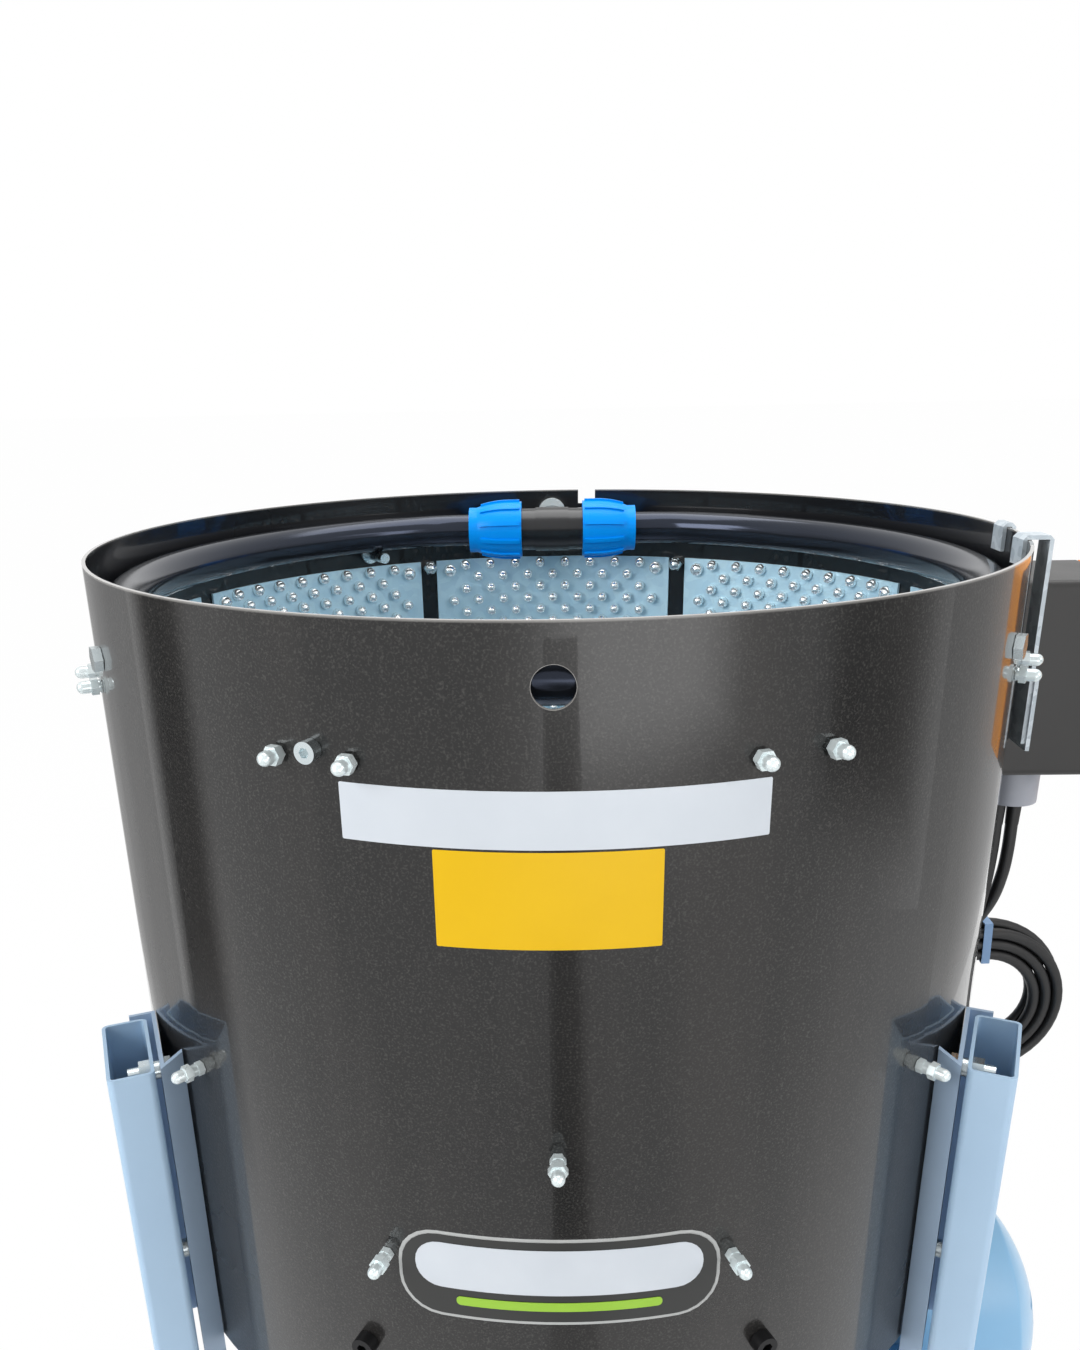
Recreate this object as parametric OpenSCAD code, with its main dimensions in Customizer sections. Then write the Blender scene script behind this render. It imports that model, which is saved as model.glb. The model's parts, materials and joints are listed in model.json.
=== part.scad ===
// Walnut huller: an upright studded drum on four legs, with a spinning disc,
// a water ring, a worm gear motor, a discharge gate and a control box.
// Millimetres. The origin is on the ground under the drum's axis, +Z is up, the front is -Y.
// Azimuths are degrees from the front, positive towards +X.

/* [Drum] */
// Outer radius of the drum
drum_r = 350; // [300:1:420]
// Thickness of the drum's sheet
drum_wall = 2.5; // [1.5:0.1:4]
// Height of the drum's sheet below the floor pan
skirt_h = 79; // [44:1:124]
// Height of the rim above the ground
rim_z = 1000; // [960:1:1100]
// Diameter of the spare hole in the front
spare_hole_d = 24; // [10:1:30]
// Width of the notch in the back of the rim
notch_w = 18; // [8:1:30]
// Depth of the notch
notch_depth = 14; // [6:1:20]

/* [Liner] */
// Thickness of a liner panel
panel_t = 2; // [1:0.1:3]
// Open angle between two panels
panel_gap_angle = 2.9; // [1:0.1:5]
// Drop from the rim to the panels' top edge
panel_drop = 69; // [60:1:80]
// Height of a panel
panel_h = 364; // [340:1:380]
// Panel bolt's diameter
panel_bolt_d = 6; // [4:0.5:8]
// Drop from the rim to the bolts near the top edge
top_bolt_drop = 80; // [76:1:90]
// Drop from the rim to the single bolts in the middle
mid_bolt_drop = 330; // [300:1:350]
// Drop from the rim to the bolts near the bottom edge
low_bolt_drop = 418; // [400:1:424]
// Angle from a panel's middle to its corner bolts
corner_bolt_angle = 18.7; // [16:0.1:19.5]

// Diameter of a stud
stud_d = 9; // [6:0.5:10]
// Height of a stud
stud_h = 6; // [4:0.5:8]
// Height from one row of studs to the next
stud_row_step = 12.5; // [11:0.5:25]
// Angle from one stud to the next in a row
stud_angle = 4.53; // [4:0.01:9]
// Studs in a long row
stud_columns = 9; // [4:1:9]

/* [Water] */
// Outer diameter of the water pipe
pipe_d = 32; // [25:1:40]
// Wall of the water pipe
pipe_wall = 2.9; // [1.5:0.1:4]
// Distance from the drum's outside to the pipe's centre line
ring_inset = 25; // [22:1:50]
// Drop from the rim to the pipe's centre line
pipe_drop = 35; // [30:1:45]
// Overall length of the tee with its nuts
tee_length = 171; // [150:1:180]
// Largest diameter of a compression nut
tee_nut_d = 60; // [54:1:66]
// Length of a compression nut
tee_nut_l = 54; // [45:1:58]

/* [Rotor] */
// Room between the disc's edge and the drum's outside
disc_room = 16; // [12:1:50]
// Thickness of the disc
disc_t = 6; // [4:0.5:10]
// Drop from the rim to the disc's top face
disc_drop = 449; // [445:1:460]
// Diameter of the drive shaft
shaft_d = 40; // [30:1:44]
// Number of ribs on the disc
rib_count = 4; // [2:1:8]

/* [Drive] */
// Distance between the worm's axis and the wheel's axis
worm_offset = 75; // [72:1:85]
// Height of the bearing housing over the gearbox
housing_h = 128; // [100:1:150]
// Radius of the motor over its fins
stator_r = 90; // [80:1:94]
// Radius of the fan cowl
cowl_r = 98; // [96:1:110]
// Depth of the cowl's domed end
cowl_dome = 40; // [20:1:60]
// Number of cooling fins
fin_count = 28; // [12:1:40]

/* [Legs] */
// Long side of a leg's tube
tube_w = 80; // [60:1:90]
// Short side of a leg's tube
tube_d = 32; // [25:1:40]
// Wall of a leg's tube
tube_wall = 2.5; // [1.5:0.1:4]
// Drop from the rim to the top of the legs
leg_drop = 330; // [300:1:360]
// Azimuth of the drum's normal that a front leg stands on
leg_az = 67.5; // [60:0.5:70]
// Sideways place of the leg's middle from that normal
leg_shift = -89; // [-95:1:-80]
// Thickness of a bracket's sheet
bracket_t = 3; // [2:0.5:4]
// Thickness of a foot plate
foot_t = 8; // [5:1:12]
// Diameter of an anchor hole
anchor_d = 14; // [10:1:18]

/* [Gate] */
// Height of the discharge opening's sill above the disc
sill_rise = 21; // [17:1:25]
// Height of the discharge opening
gate_open_h = 124; // [80:1:130]
// Half angle of the discharge opening
gate_half_angle = 14; // [8:0.5:15]
// Thickness of the gate's plate
gate_t = 3; // [2:0.5:4]

/* [Control box] */
// Width of the control box
box_w = 110; // [90:1:120]
// Height of the control box
box_h = 162; // [150:1:180]
// Depth of the dark base
shell_d = 96; // [80:1:110]
// Depth of the orange lid
cover_d = 60; // [40:1:80]
// Start button's diameter
start_d = 28; // [20:1:32]
// Stop button's diameter
stop_d = 36; // [28:1:40]

/* [Cables] */
// Diameter of the cables
cable_d = 11; // [8:0.5:11]
// Turns in the put-away coil
coil_turns = 6; // [4:2:8]
// Distance between neighbouring turns
coil_pitch = 11.6; // [11.5:0.1:14]

/* [Hidden] */
$fn = 96;
// One overrun for every cut
over = 1;
// Room round a bolt in its hole
hole_room = 0.3;
// Room between round faces that stay put
seat_room = 0.3;
// Room of a running fit
run_room = 0.05;
// Room in a thread or a socket
thread_room = 0.05;
full_turn = 360;
half_turn = 180;
quarter_turn = 90;
hex = 6;

// Drum, worked out
drum_in = drum_r - drum_wall;
disc_top = rim_z - disc_drop;
disc_base = disc_top - disc_t;
// From the disc's top face down to the floor pan's underside
pan_room = 67;
pan_z = disc_top - pan_room;
drum_base_z = pan_z - skirt_h;
drum_h = rim_z - drum_base_z;
pipe_z = rim_z - pipe_drop;
notch_az = 173.9;

// Liner, worked out
panel_count = 8;
panel_step = full_turn / panel_count;
rear_panel = 4;
panel_out = drum_in - seat_room;
panel_in = panel_out - panel_t;
panel_top = rim_z - panel_drop;
panel_bottom = panel_top - panel_h;
top_bolt_z = rim_z - top_bolt_drop;
mid_bolt_z = rim_z - mid_bolt_drop;
low_bolt_z = rim_z - low_bolt_drop;

// Shares of a bolt's diameter
nut_corner_share = 1.04;
nut_dome_share = 0.73;
back_nut_share = 0.86;
hex_head_share = 0.9;

// Bolt and cap nut, in the panel bolt's sizes
head_r = panel_bolt_d;
head_h = panel_bolt_d * 2 / 3;
nut_r = panel_bolt_d * nut_corner_share;
nut_h = panel_bolt_d * 5 / 6;
dome_r = panel_bolt_d * nut_dome_share;
// Thread between the drum and the nuts, on the bolts that stand off and on the ones that do not
short_thread = 2;
long_thread = 9;

// Studs: from the panel's edges to the outer rows, and room around a bolt's head
stud_edge = 6;
stud_room = 1;

// Seam screws in the gaps between panels
seam_d = 8;
seam_drop = 75;
seam_head_r = 6.5;
seam_head_h = 8;
seam_dome_r = 7.2;
seam_front_az = -22.5;
seam_rear_az = 157.5;

// Water parts, worked out
pipe_r = pipe_d / 2;
bend_r = 100;
ring_r = drum_r - ring_inset;
// Straight pipe beyond the tee's nuts
run_past = 10.4;
run_half = tee_length / 2 + run_past;
bend_y = sqrt(pow(ring_r - bend_r, 2) - pow(run_half, 2));
run_y = bend_y + bend_r;
bend_angle = atan2(run_half, bend_y);
tee_wall = 5;
tee_r = pipe_r + tee_wall;
collar_rise = 1;
collar_r = tee_r + collar_rise;
collar_w = 34;
socket_stop = 20;
body_half = 44;
tee_bore_r = 13;
nut_taper = 7.5;
nut_small_r = tee_nut_d / 2 - nut_taper;
nut_rib_count = 10;
nut_rib_w = 4;
nut_rib_h = 2;
// Shares of the nut's length where the ribs stop and where the rounding starts and ends
nut_rib_share = 0.78;
nut_round_shares = [0.25, 0.86];
pipe_sides = 12;
bend_steps = 4;
ring_steps = 24;
peg_d = 10;
peg_l = 38;
peg_flange_r = 9;
peg_flange_t = 3;
peg_azimuths = [-146.7, -60, 60];
nipple_r = 12;
bore_share = 0.7;
inlet_hole_r = 13.5;
inlet_flange_r = 19;
inlet_flange_t = 16;
boss_r = 14.6;
boss_rise = 12.4;
locknut_r = 22;
locknut_t = 9;
valve_r = 19;
valve_gap = 4;
valve_l = 66;
valve_hex_r = 18;
valve_hex_l = 14;
valve_stem_r = 5;
valve_neck_h = 2;
tail_l = 46;
tail_r = 9;
tail_barb_r = 10.5;
tail_barb_count = 2;
tail_barb_steps = 5;
lever_w = 12;
lever_t = 2.5;
lever_l = 78;
lever_eye_share = 0.7;

// Rotor and drive, worked out
shaft_r = shaft_d / 2;
disc_r = drum_r - disc_room;
hub_r = 45;
hub_h = 34;
rib_w = 24;
rib_h = 14;
rib_start = 70;
rib_margin = 14;
sweeper_w = 40;
sweeper_t = 5;
cap_r = 42;
cap_h = 26;
cap_bolt_r = 6;
pan_t = 3;
pan_flange_h = 30;
pan_r = drum_in - seat_room;
floor_bolt_d = 10;
floor_bolt_rise = 16;
floor_bolt_z = pan_z + floor_bolt_rise;
floor_bolt_az = -22;
floor_head_r = 8;
floor_head_h = 9;
floor_nut_r = 9;
floor_nut_h = 8;
spout_w = 130;
spout_d = 90;
spout_wall = 2;
spout_margin = 43;
spout_reach = drum_r - spout_margin - spout_d / 2;
spout_h = 190;
spout_slope = 50;
spout_flange = 12;
bearing_r = 40;
bearing_w = 18;
housing_r = 52;
housing_flange_r = 85;
housing_flange_t = 10;
foot_flange_r = 74;
shoulder_r = 34;
housing_bolt_d = 8;
housing_bolt_ring = 68;
housing_bolt_count = 6;
cover_t = 8;
gear_half = 46;
gearbox_r = 74;
gear_wall = 9;
wheel_r = 55;
wheel_t = 34;
wheel_teeth = 30;
tooth_depth = 4;
tooth_w = 5;
wheel_hub_r = 30;
worm_r = 19;
worm_barrel_r = 36;
worm_bore_r = 25;
worm_half = 58;
worm_journal_r = 12;
worm_thread_w = 6;
worm_thread_depth = 4;
worm_threads = 5;
gearbox_flange_r = 80;
gearbox_flange_t = 10;
gearbox_flange_x = 78;
cover_top = pan_z - housing_h;
gearbox_top = cover_top - cover_t;
worm_z = gearbox_top - gear_half;
gearbox_base = worm_z - gear_half;
gear_chamber_r = 58;
worm_end_room = 2;
barrel_cap = 4;
collar_step = 6;
cover_hole_room = 2;
shield_t = 14;
stator_l = 196;
fin_h = 12;
stator_core_r = stator_r - fin_h;
stator_bore_r = 56;
rotor_core_r = 55;
rotor_core_l = 150;
fin_t = 3;
fin_sink = 2;
motor_start_x = gearbox_flange_x + gearbox_flange_t;
stator_x = motor_start_x + shield_t;
rear_shield_x = stator_x + stator_l;
rear_shield_end = rear_shield_x + shield_t;
motor_journal_r = 14;
fan_gap = 10;
fan_x = rear_shield_end + fan_gap;
fan_tip_room = 22;
fan_r = cowl_r - fan_tip_room;
fan_hub_r = 26;
fan_w = 30;
fan_blades = 7;
fan_blade_t = 4;
shaft_tip_x = fan_x + fan_w;
cowl_wall = 1.5;
shield_r = cowl_r - cowl_wall - seat_room;
cowl_back = 2;
cowl_start_x = rear_shield_x + cowl_back;
cowl_l = 93;
cowl_end_x = cowl_start_x + cowl_l;
cowl_slot_count = 5;
cowl_slot_w = 6;
cowl_lug_r = 9;
cowl_lug_h = 7;
cowl_lug_reach = 60;
cowl_lug_angle = 27;
terminal_inset = 78;
terminal_x = stator_x + terminal_inset;
terminal_w = 100;
terminal_y = 70;
terminal_h = 64;
terminal_wall = 3;
terminal_lid_t = 8;
terminal_cone_l = 20;
terminal_cone_r = 9;

// Legs, worked out
leg_top = rim_z - leg_drop;
web_sink = 2;
web_n = drum_r - web_sink;
tube_gap = 4;
tube_n = web_n + bracket_t + tube_gap;
tube_edge = 5;
flange_inset = 3;
bracket_front = leg_shift - tube_w / 2 + flange_inset;
web_past = 9;
bracket_rear = leg_shift + tube_w / 2 + web_past;
bracket_past = 22;
bracket_base_z = drum_base_z - bracket_past;
lip_run = 18;
rear_flange_reach = 12;
lip_r = drum_r + seat_room;
leg_bolt_d = 10;
leg_bolt_drops = [352, 515];
leg_bolt_l = 38;
leg_head_r = 8.5;
leg_head_h = 5;
leg_spacer_r = 7;
leg_nut_h = 8;
foot_in = 15;
foot_out = 45;
foot_side = 10;
anchor_reach = 28;
brace_z = 130;
brace_h = 40;
brace_w = 20;
brace_wall = 2.5;
side_brace_x = leg_point(tube_n + tube_edge, leg_shift + tube_w / 2)[0];
cross_brace_y = brace_w - leg_point(tube_n, leg_shift)[1];

// Gate, worked out
sill_z = disc_top + sill_rise;
gate_lap = 12;
gate_lap_angle = 4.4;
gate_room = 0.8;
gate_angle = gate_half_angle + gate_lap_angle;
gate_in = drum_r + gate_room;
gate_out = gate_in + gate_t;
gate_base = sill_z - gate_lap;
gate_top = sill_z + gate_open_h + gate_lap;
guide_side_room = 0.3;
guide_lip_angle = 2;
guide_foot_angle = 2.4;
guide_lip_t = 2.5;
guide_h = 300;
stop_h = 8;
handle_w = 100;
handle_r = 6;
handle_reach = 34;
guide_screw_r = 3;
guide_screw_head_r = 5.5;
guide_screw_head_h = 3;
guide_screw_shares = [0.07, 0.6, 0.95];
guide_screw_l = 9;
chute_half = 95;
chute_t = 2.5;
chute_reach = 560;
chute_fall = 90;
chute_side_h = 60;
chute_flange_h = 46;
chute_flange_t = 2.5;
chute_clear = 3;
chute_clear_r = gate_out + guide_lip_t + chute_clear;
rear_panel_rise = 8;
rear_panel_bottom = gate_top + rear_panel_rise;

// Control box, worked out
strap_t = 3;
strap_w = 20;
strap_reach = 150;
strap_room = 0.5;
strap_x = drum_r + strap_room;
strap_hook_in = pipe_drop - pipe_r - over;
strap_top = seat_room + strap_t;
strap_ys = [-10, -82];
plate_x = strap_x + strap_t;
plate_z_drop = 155;
plate_h = 60;
plate_y0 = -94;
plate_y1 = 100;
box_x = plate_x + strap_t;
box_y = -10;
box_drop = 43;
box_top = rim_z - box_drop;
box_base = box_top - box_h;
box_wall = 3;
box_edge = 6;
groove_d = 1.5;
groove_w = 3;
cover_x = box_x + shell_d;
face_x = cover_x + cover_d;
button_y = box_y + box_w / 2;
button_shares = [0.68, 0.32];
start_z = box_base + box_h * button_shares[0];
stop_z = box_base + box_h * button_shares[1];
button_room = 0.4;
button_stand = 7;
button_stem = 14;
button_collar = 3;
button_travel = 4;
gland_r = 24;
gland_inset = 48.5;
gland_x = box_x + gland_inset;
gland_side = 60;
gland_y = box_y + gland_side;
gland_h = 40;
gland_edge = 8;
sleeve_l = 25;
sleeve_top_r = 9;
cable_r = cable_d / 2;
cable_half_gap = 7;
supply_x = gland_x + cable_half_gap;
lead_x = gland_x - cable_half_gap;
sleeve_end_z = box_base - gland_h - sleeve_l;
sleeve_end = [gland_x, gland_y, sleeve_end_z];

// Supply coil, worked out
coil_offset = [23, 60, -212];
coil_x = gland_x + coil_offset[0];
coil_y = gland_y + coil_offset[1];
coil_z = sleeve_end_z + coil_offset[2];
coil_out_r = 83;
coil_layer_y = coil_pitch / 2;
coil_half = coil_turns / 2;
coil_climb = 0.5;
coil_rings = 24;
coil_sides = 6;
cord_sides = 8;
plug_r = 19;
plug_l = 48;
plug_neck_l = 18;
plug_neck_share = 0.6;
plug_pin_r = 2.4;
plug_pin_l = 19;
plug_pin_gap = 19;
tie_angle = 92;
tie_w = 8;
tie_t = 1.4;
tie_room = 0.4;

// Free stretches of the cables, chosen by hand as steps from the middle of the sleeves' ends,
// and for the lower half of the motor's lead as steps from its cone
supply_steps = [
  [cable_half_gap, 0, 0], [cable_half_gap, 0, -25], [6, 2, -50], [2, 7, -78], [-7, 16, -105],
  [-21, 28, -130], [-37, 40, -153], [-51, 49.5, -178], [-58.5, 53.5, -200]
];
tail_steps = [[-60, 66, -235], [-59, 67, -265], [-57, 68, -295], [-56, 68, -330]];
lead_steps = [
  [-cable_half_gap, 0, 0], [-cable_half_gap, 0, -25], [-9, -1, -55], [-13, -2, -85], [-20, -3, -120],
  [-28, -2, -160], [-35, 0, -200], [-39, 3, -240]
];
lead_low_steps = [
  [66, 11, 148], [69, 12, 113], [71, 9, 78], [66, 5, 48], [52, 2, 23], [30, 0, 5], [0, 0, 0]
];
lead_y = 45;
lead_end = [terminal_x + terminal_w + terminal_cone_l, lead_y, worm_z];
supply_route = concat([for (p = supply_steps) sleeve_end + p], [coil_point(0)]);
tail_route = concat([coil_point(coil_turns)], [for (p = tail_steps) sleeve_end + p]);
lead_route = concat([for (p = lead_steps) sleeve_end + p], [for (p = lead_low_steps) lead_end + p]);
// Steps to a span of a route
route_steps = 2;

// Places on the drum: local -Y points outwards at the azimuth
module at_az(az, r, z) {
  rotate([0, 0, az])
    translate([0, -r, z])
      children();
}

// As above, with local +Z pointing outwards
module outward(az, r, z) {
  at_az(az, r, z)
    rotate([quarter_turn, 0, 0])
      children();
}

// A curved strip of sheet, from r0 to r1, az0 to az1 and z0 to z1
module strip(r0, r1, az0, az1, z0, z1) {
  rotate([0, 0, az0 - quarter_turn])
    rotate_extrude(angle = az1 - az0)
      translate([r0, z0])
        square([r1 - r0, z1 - z0]);
}

// A rod along +X
module rod(x, y, z, r, l) {
  translate([x, y, z])
    rotate([0, quarter_turn, 0])
      cylinder(h = l, r = r);
}

// Every panel bolt's place: azimuth, height and the thread that shows. Low down, a side panel is bolted
// at its rear corner only.
panel_bolt_places = concat(
  [for (k = [0 : panel_count - 1], s = [-1, 1]) [k * panel_step + s * corner_bolt_angle, top_bolt_z, short_thread]],
  [for (k = [0 : panel_count - 1]) if (k != rear_panel) [k * panel_step, mid_bolt_z, long_thread]],
  [for (k = [0 : panel_count - 1], s = [-1, 1]) if (k != rear_panel && s * sin(k * panel_step) >= 0)
    [k * panel_step + s * corner_bolt_angle, low_bolt_z, long_thread]]
);
guide_screw_places = [for (s = [-1, 1], f = guide_screw_shares)
  [half_turn + s * (gate_angle + guide_foot_angle / 2), gate_base + f * guide_h]];

module panel_bolt_holes(r0, r1) {
  for (p = panel_bolt_places)
    outward(p[0], r0, p[1])
      cylinder(h = r1 - r0, r = panel_bolt_d / 2 + hole_room);
}

module guide_screw_holes(r0, r1) {
  for (p = guide_screw_places)
    outward(p[0], r0, p[1])
      cylinder(h = r1 - r0, r = guide_screw_r + hole_room);
}

module drum() {
  color("#2b2a29")
    difference() {
      rotate_extrude()
        translate([drum_in, drum_base_z])
          square([drum_wall, drum_h]);
      outward(0, drum_in - over, pipe_z)
        cylinder(h = drum_wall + 2 * over, d = spare_hole_d);
      outward(half_turn, drum_in - over, pipe_z)
        cylinder(h = drum_wall + 2 * over, r = inlet_hole_r);
      at_az(notch_az, drum_r + over, rim_z - notch_depth)
        translate([-notch_w / 2, 0, 0])
          cube([notch_w, 2 * drum_wall + 2 * over, notch_depth + over]);
      panel_bolt_holes(drum_in - drum_wall, drum_r + over);
      for (az = [seam_front_az, -seam_rear_az, seam_rear_az])
        outward(az, drum_in - over, rim_z - seam_drop)
          cylinder(h = drum_wall + 2 * over, r = seam_d / 2 + hole_room);
      for (az = peg_azimuths)
        outward(az, drum_in - over, peg_z)
          cylinder(h = drum_wall + 2 * over, r = peg_d / 2 + hole_room);
      for (k = [0 : panel_count - 1])
        outward(floor_bolt_az + k * panel_step, drum_in - over, floor_bolt_z)
          cylinder(h = drum_wall + 2 * over, r = floor_bolt_d / 2 + hole_room);
      strip(drum_in - over, drum_r + over, half_turn - gate_half_angle, half_turn + gate_half_angle,
        sill_z, sill_z + gate_open_h);
      guide_screw_holes(drum_in - over, drum_r + over);
    }
}

// Height of the pegs, just under the pipe
peg_z = pipe_z - pipe_r - peg_d / 2 - seat_room;

module liner_panel(k) {
  half = panel_step / 2 - panel_gap_angle / 2;
  az = k * panel_step;
  base = k == rear_panel ? rear_panel_bottom : panel_bottom;
  color("#93a6ba") {
    difference() {
      strip(panel_in, panel_out, az - half, az + half, base, panel_top);
      for (p = panel_bolt_places)
        if (abs(p[0] - az) < half)
          outward(p[0], panel_in - over, p[1])
            cylinder(h = panel_t + 2 * over, r = panel_bolt_d / 2 + hole_room);
      if (k == rear_panel)
        guide_screw_holes(panel_in - over, panel_out + over);
    }
    liner_studs(az, base);
  }
}

// How far apart two places on the panels' inside are
function panel_distance(a, b) = norm([panel_in * (a[0] - b[0]) * PI / half_turn, a[1] - b[1]]);

// Whether a stud keeps off every bolt head and guide screw
function stud_clear(place) =
  min([for (p = concat(panel_bolt_places, guide_screw_places)) panel_distance(place, p)])
    > head_r + stud_d / 2 + stud_room;

// Rows of round studs, a short row and a long one by turns
module liner_studs(az, base) {
  row_count = floor((panel_top - base - 2 * stud_edge) / stud_row_step) + 1;
  for (row = [0 : row_count - 1], column = [0 : stud_columns - 2 + row % 2]) {
    middle = (stud_columns - 2 + row % 2) / 2;
    place = [az + (column - middle) * stud_angle, panel_top - stud_edge - row * stud_row_step];
    if (stud_clear(place))
      outward(place[0], panel_in - seat_room - stud_h, place[1])
        cylinder(h = stud_h, d = stud_d);
  }
}

module panel_bolts() {
  color("#c8d4d8")
    for (p = panel_bolt_places)
      outward(p[0], panel_in - seat_room, p[1]) {
        translate([0, 0, -head_h])
          cylinder(h = head_h, r = head_r);
        cylinder(h = drum_r - panel_in + seat_room + p[2] + 2 * nut_h, d = panel_bolt_d);
      }
}

// Half the outline of a round cap with a domed end
module cap_profile(l) {
  square([dome_r, l]);
  intersection() {
    translate([0, l])
      circle(r = dome_r);
    square([dome_r, l + dome_r]);
  }
}

module panel_cap_nuts() {
  color("#d4dee2")
    for (p = panel_bolt_places)
      outward(p[0], drum_r + seat_room, p[1])
        difference() {
          union() {
            translate([0, 0, p[2]])
              cylinder(h = nut_h, r = nut_r, $fn = hex);
            rotate_extrude()
              cap_profile(p[2] + 2 * nut_h);
            cylinder(h = p[2] / 2, r = panel_bolt_d * back_nut_share, $fn = hex);
          }
          translate([0, 0, -over])
            cylinder(h = p[2] + 2 * nut_h + over + seat_room, r = panel_bolt_d / 2 + thread_room);
        }
}

// Socket screw in the front gap and domed screws in the rear gaps
module seam_bolts() {
  color("#c8d4d8") {
    outward(seam_front_az, drum_r + seat_room, rim_z - seam_drop)
      difference() {
        union() {
          cylinder(h = seam_head_h, r = seam_head_r);
          translate([0, 0, -drum_wall - seam_head_h])
            cylinder(h = drum_wall + seam_head_h, d = seam_d);
          translate([0, 0, -drum_wall - 2 * seat_room - seam_head_h])
            cylinder(h = seam_head_h, r = seam_head_r, $fn = hex);
        }
        translate([0, 0, seam_head_h / 2])
          cylinder(h = seam_head_h, r = seam_head_r / 2, $fn = hex);
      }
    for (az = [-seam_rear_az, seam_rear_az])
      outward(az, drum_in - seat_room, rim_z - seam_drop) {
        translate([0, 0, -seam_head_h])
          cylinder(h = seam_head_h, r = seam_dome_r, $fn = hex);
        translate([0, 0, -seam_head_h])
          sphere(r = seam_head_r);
        cylinder(h = drum_wall + 2 * seat_room + seam_head_h, d = seam_d);
        translate([0, 0, drum_wall + 2 * seat_room])
          cylinder(h = seam_head_h, r = seam_dome_r, $fn = hex);
      }
  }
}

module pipe_pegs() {
  color("#c8d4d8")
    for (az = peg_azimuths)
      outward(az, drum_in - peg_l, peg_z) {
        cylinder(h = peg_l + drum_wall + 2 * peg_flange_t, d = peg_d);
        translate([0, 0, peg_l - peg_flange_t - seat_room])
          cylinder(h = peg_flange_t, r = peg_flange_r);
        translate([0, 0, peg_l + drum_wall + seat_room])
          cylinder(h = 2 * peg_flange_t, r = peg_flange_r, $fn = hex);
      }
}

// The pipe's centre line: straight in the tee, a bend, the ring round the front, a bend, straight
pipe_half_path = concat(
  [[socket_stop + seat_room, run_y], [(socket_stop + run_half) / 2, run_y]],
  [for (i = [0 : bend_steps - 1]) let (a = quarter_turn - i * bend_angle / bend_steps)
    [run_half + bend_r * cos(a), bend_y + bend_r * sin(a)]],
  [for (i = [0 : ring_steps]) let (a = quarter_turn - bend_angle - i * (half_turn - bend_angle) / ring_steps)
    [ring_r * cos(a), ring_r * sin(a)]]
);
half_count = len(pipe_half_path);
pipe_path = [for (i = [0 : 2 * half_count - 2])
  i < half_count ? [pipe_half_path[i][0], pipe_half_path[i][1], pipe_z]
  : [-pipe_half_path[2 * half_count - 2 - i][0], pipe_half_path[2 * half_count - 2 - i][1], pipe_z]];

module water_ring() {
  color("#1d1e20")
    hollow_tube(pipe_path, pipe_r, pipe_r - pipe_wall, pipe_sides);
}

// A pipe with its bore, swept along a level path
module hollow_tube(p, r, bore_r, sides) {
  n = len(p);
  points = [for (rr = [r, bore_r], i = [0 : n - 1], k = [0 : sides - 1])
    let (t = unit(p[min(i + 1, n - 1)] - p[max(i - 1, 0)]))
    let (u = unit(cross(t, [0, 0, 1])))
    let (v = cross(t, u))
    p[i] + rr * (cos(k * full_turn / sides) * u + sin(k * full_turn / sides) * v)];
  m = n * sides;
  walls = [for (i = [0 : n - 2], k = [0 : sides - 1], half = [0, 1])
    let (a = i * sides + k)
    let (b = i * sides + (k + 1) % sides)
    half == 0 ? [a, a + sides, b + sides] : [a, b + sides, b]];
  bore = [for (f = walls) [f[0] + m, f[2] + m, f[1] + m]];
  e = (n - 1) * sides;
  ends = [for (k = [0 : sides - 1], half = [0, 1])
    let (j = (k + 1) % sides)
    half == 0 ? [k, j, j + m] : [k, j + m, k + m]];
  other = [for (f = ends) [f[0] + e, f[2] + e, f[1] + e]];
  polyhedron(points = points, faces = concat(walls, bore, ends, other));
}

module tee_body() {
  color("#17181a")
    difference() {
      union() {
        rod(-body_half, run_y, pipe_z, tee_r, 2 * body_half);
        rod(-collar_w / 2, run_y, pipe_z, collar_r, collar_w);
        translate([0, run_y, pipe_z])
          rotate([-quarter_turn, 0, 0])
            cylinder(h = tee_branch_l, r = tee_r - seat_room);
      }
      rod(-body_half - over, run_y, pipe_z, tee_bore_r, 2 * body_half + 2 * over);
      for (s = [0, 1])
        mirror([s, 0, 0])
          rod(socket_stop, run_y, pipe_z, pipe_r + seat_room / 2, body_half);
      translate([0, run_y, pipe_z])
        rotate([-quarter_turn, 0, 0])
          cylinder(h = tee_branch_l + over, r = nipple_r + thread_room);
    }
}

// The tee's branch stops short of the drum's inside
tee_branch_l = drum_in - run_y - inlet_flange_t;

// Half a compression nut's outline, grown outwards by the height of a rib
module nut_profile(rib) {
  big = tee_nut_d / 2 - nut_rib_h;
  straight = tee_nut_l * nut_round_shares[0];
  rounded = tee_nut_l * nut_round_shares[1];
  drop = big - nut_small_r;
  arc_r = (pow(rounded - straight, 2) + drop * drop) / (2 * drop);
  square([big + rib, straight]);
  intersection() {
    translate([big + rib - arc_r, straight])
      circle(r = arc_r);
    square([big + rib, rounded]);
  }
  square([nut_small_r, tee_nut_l]);
}

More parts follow.
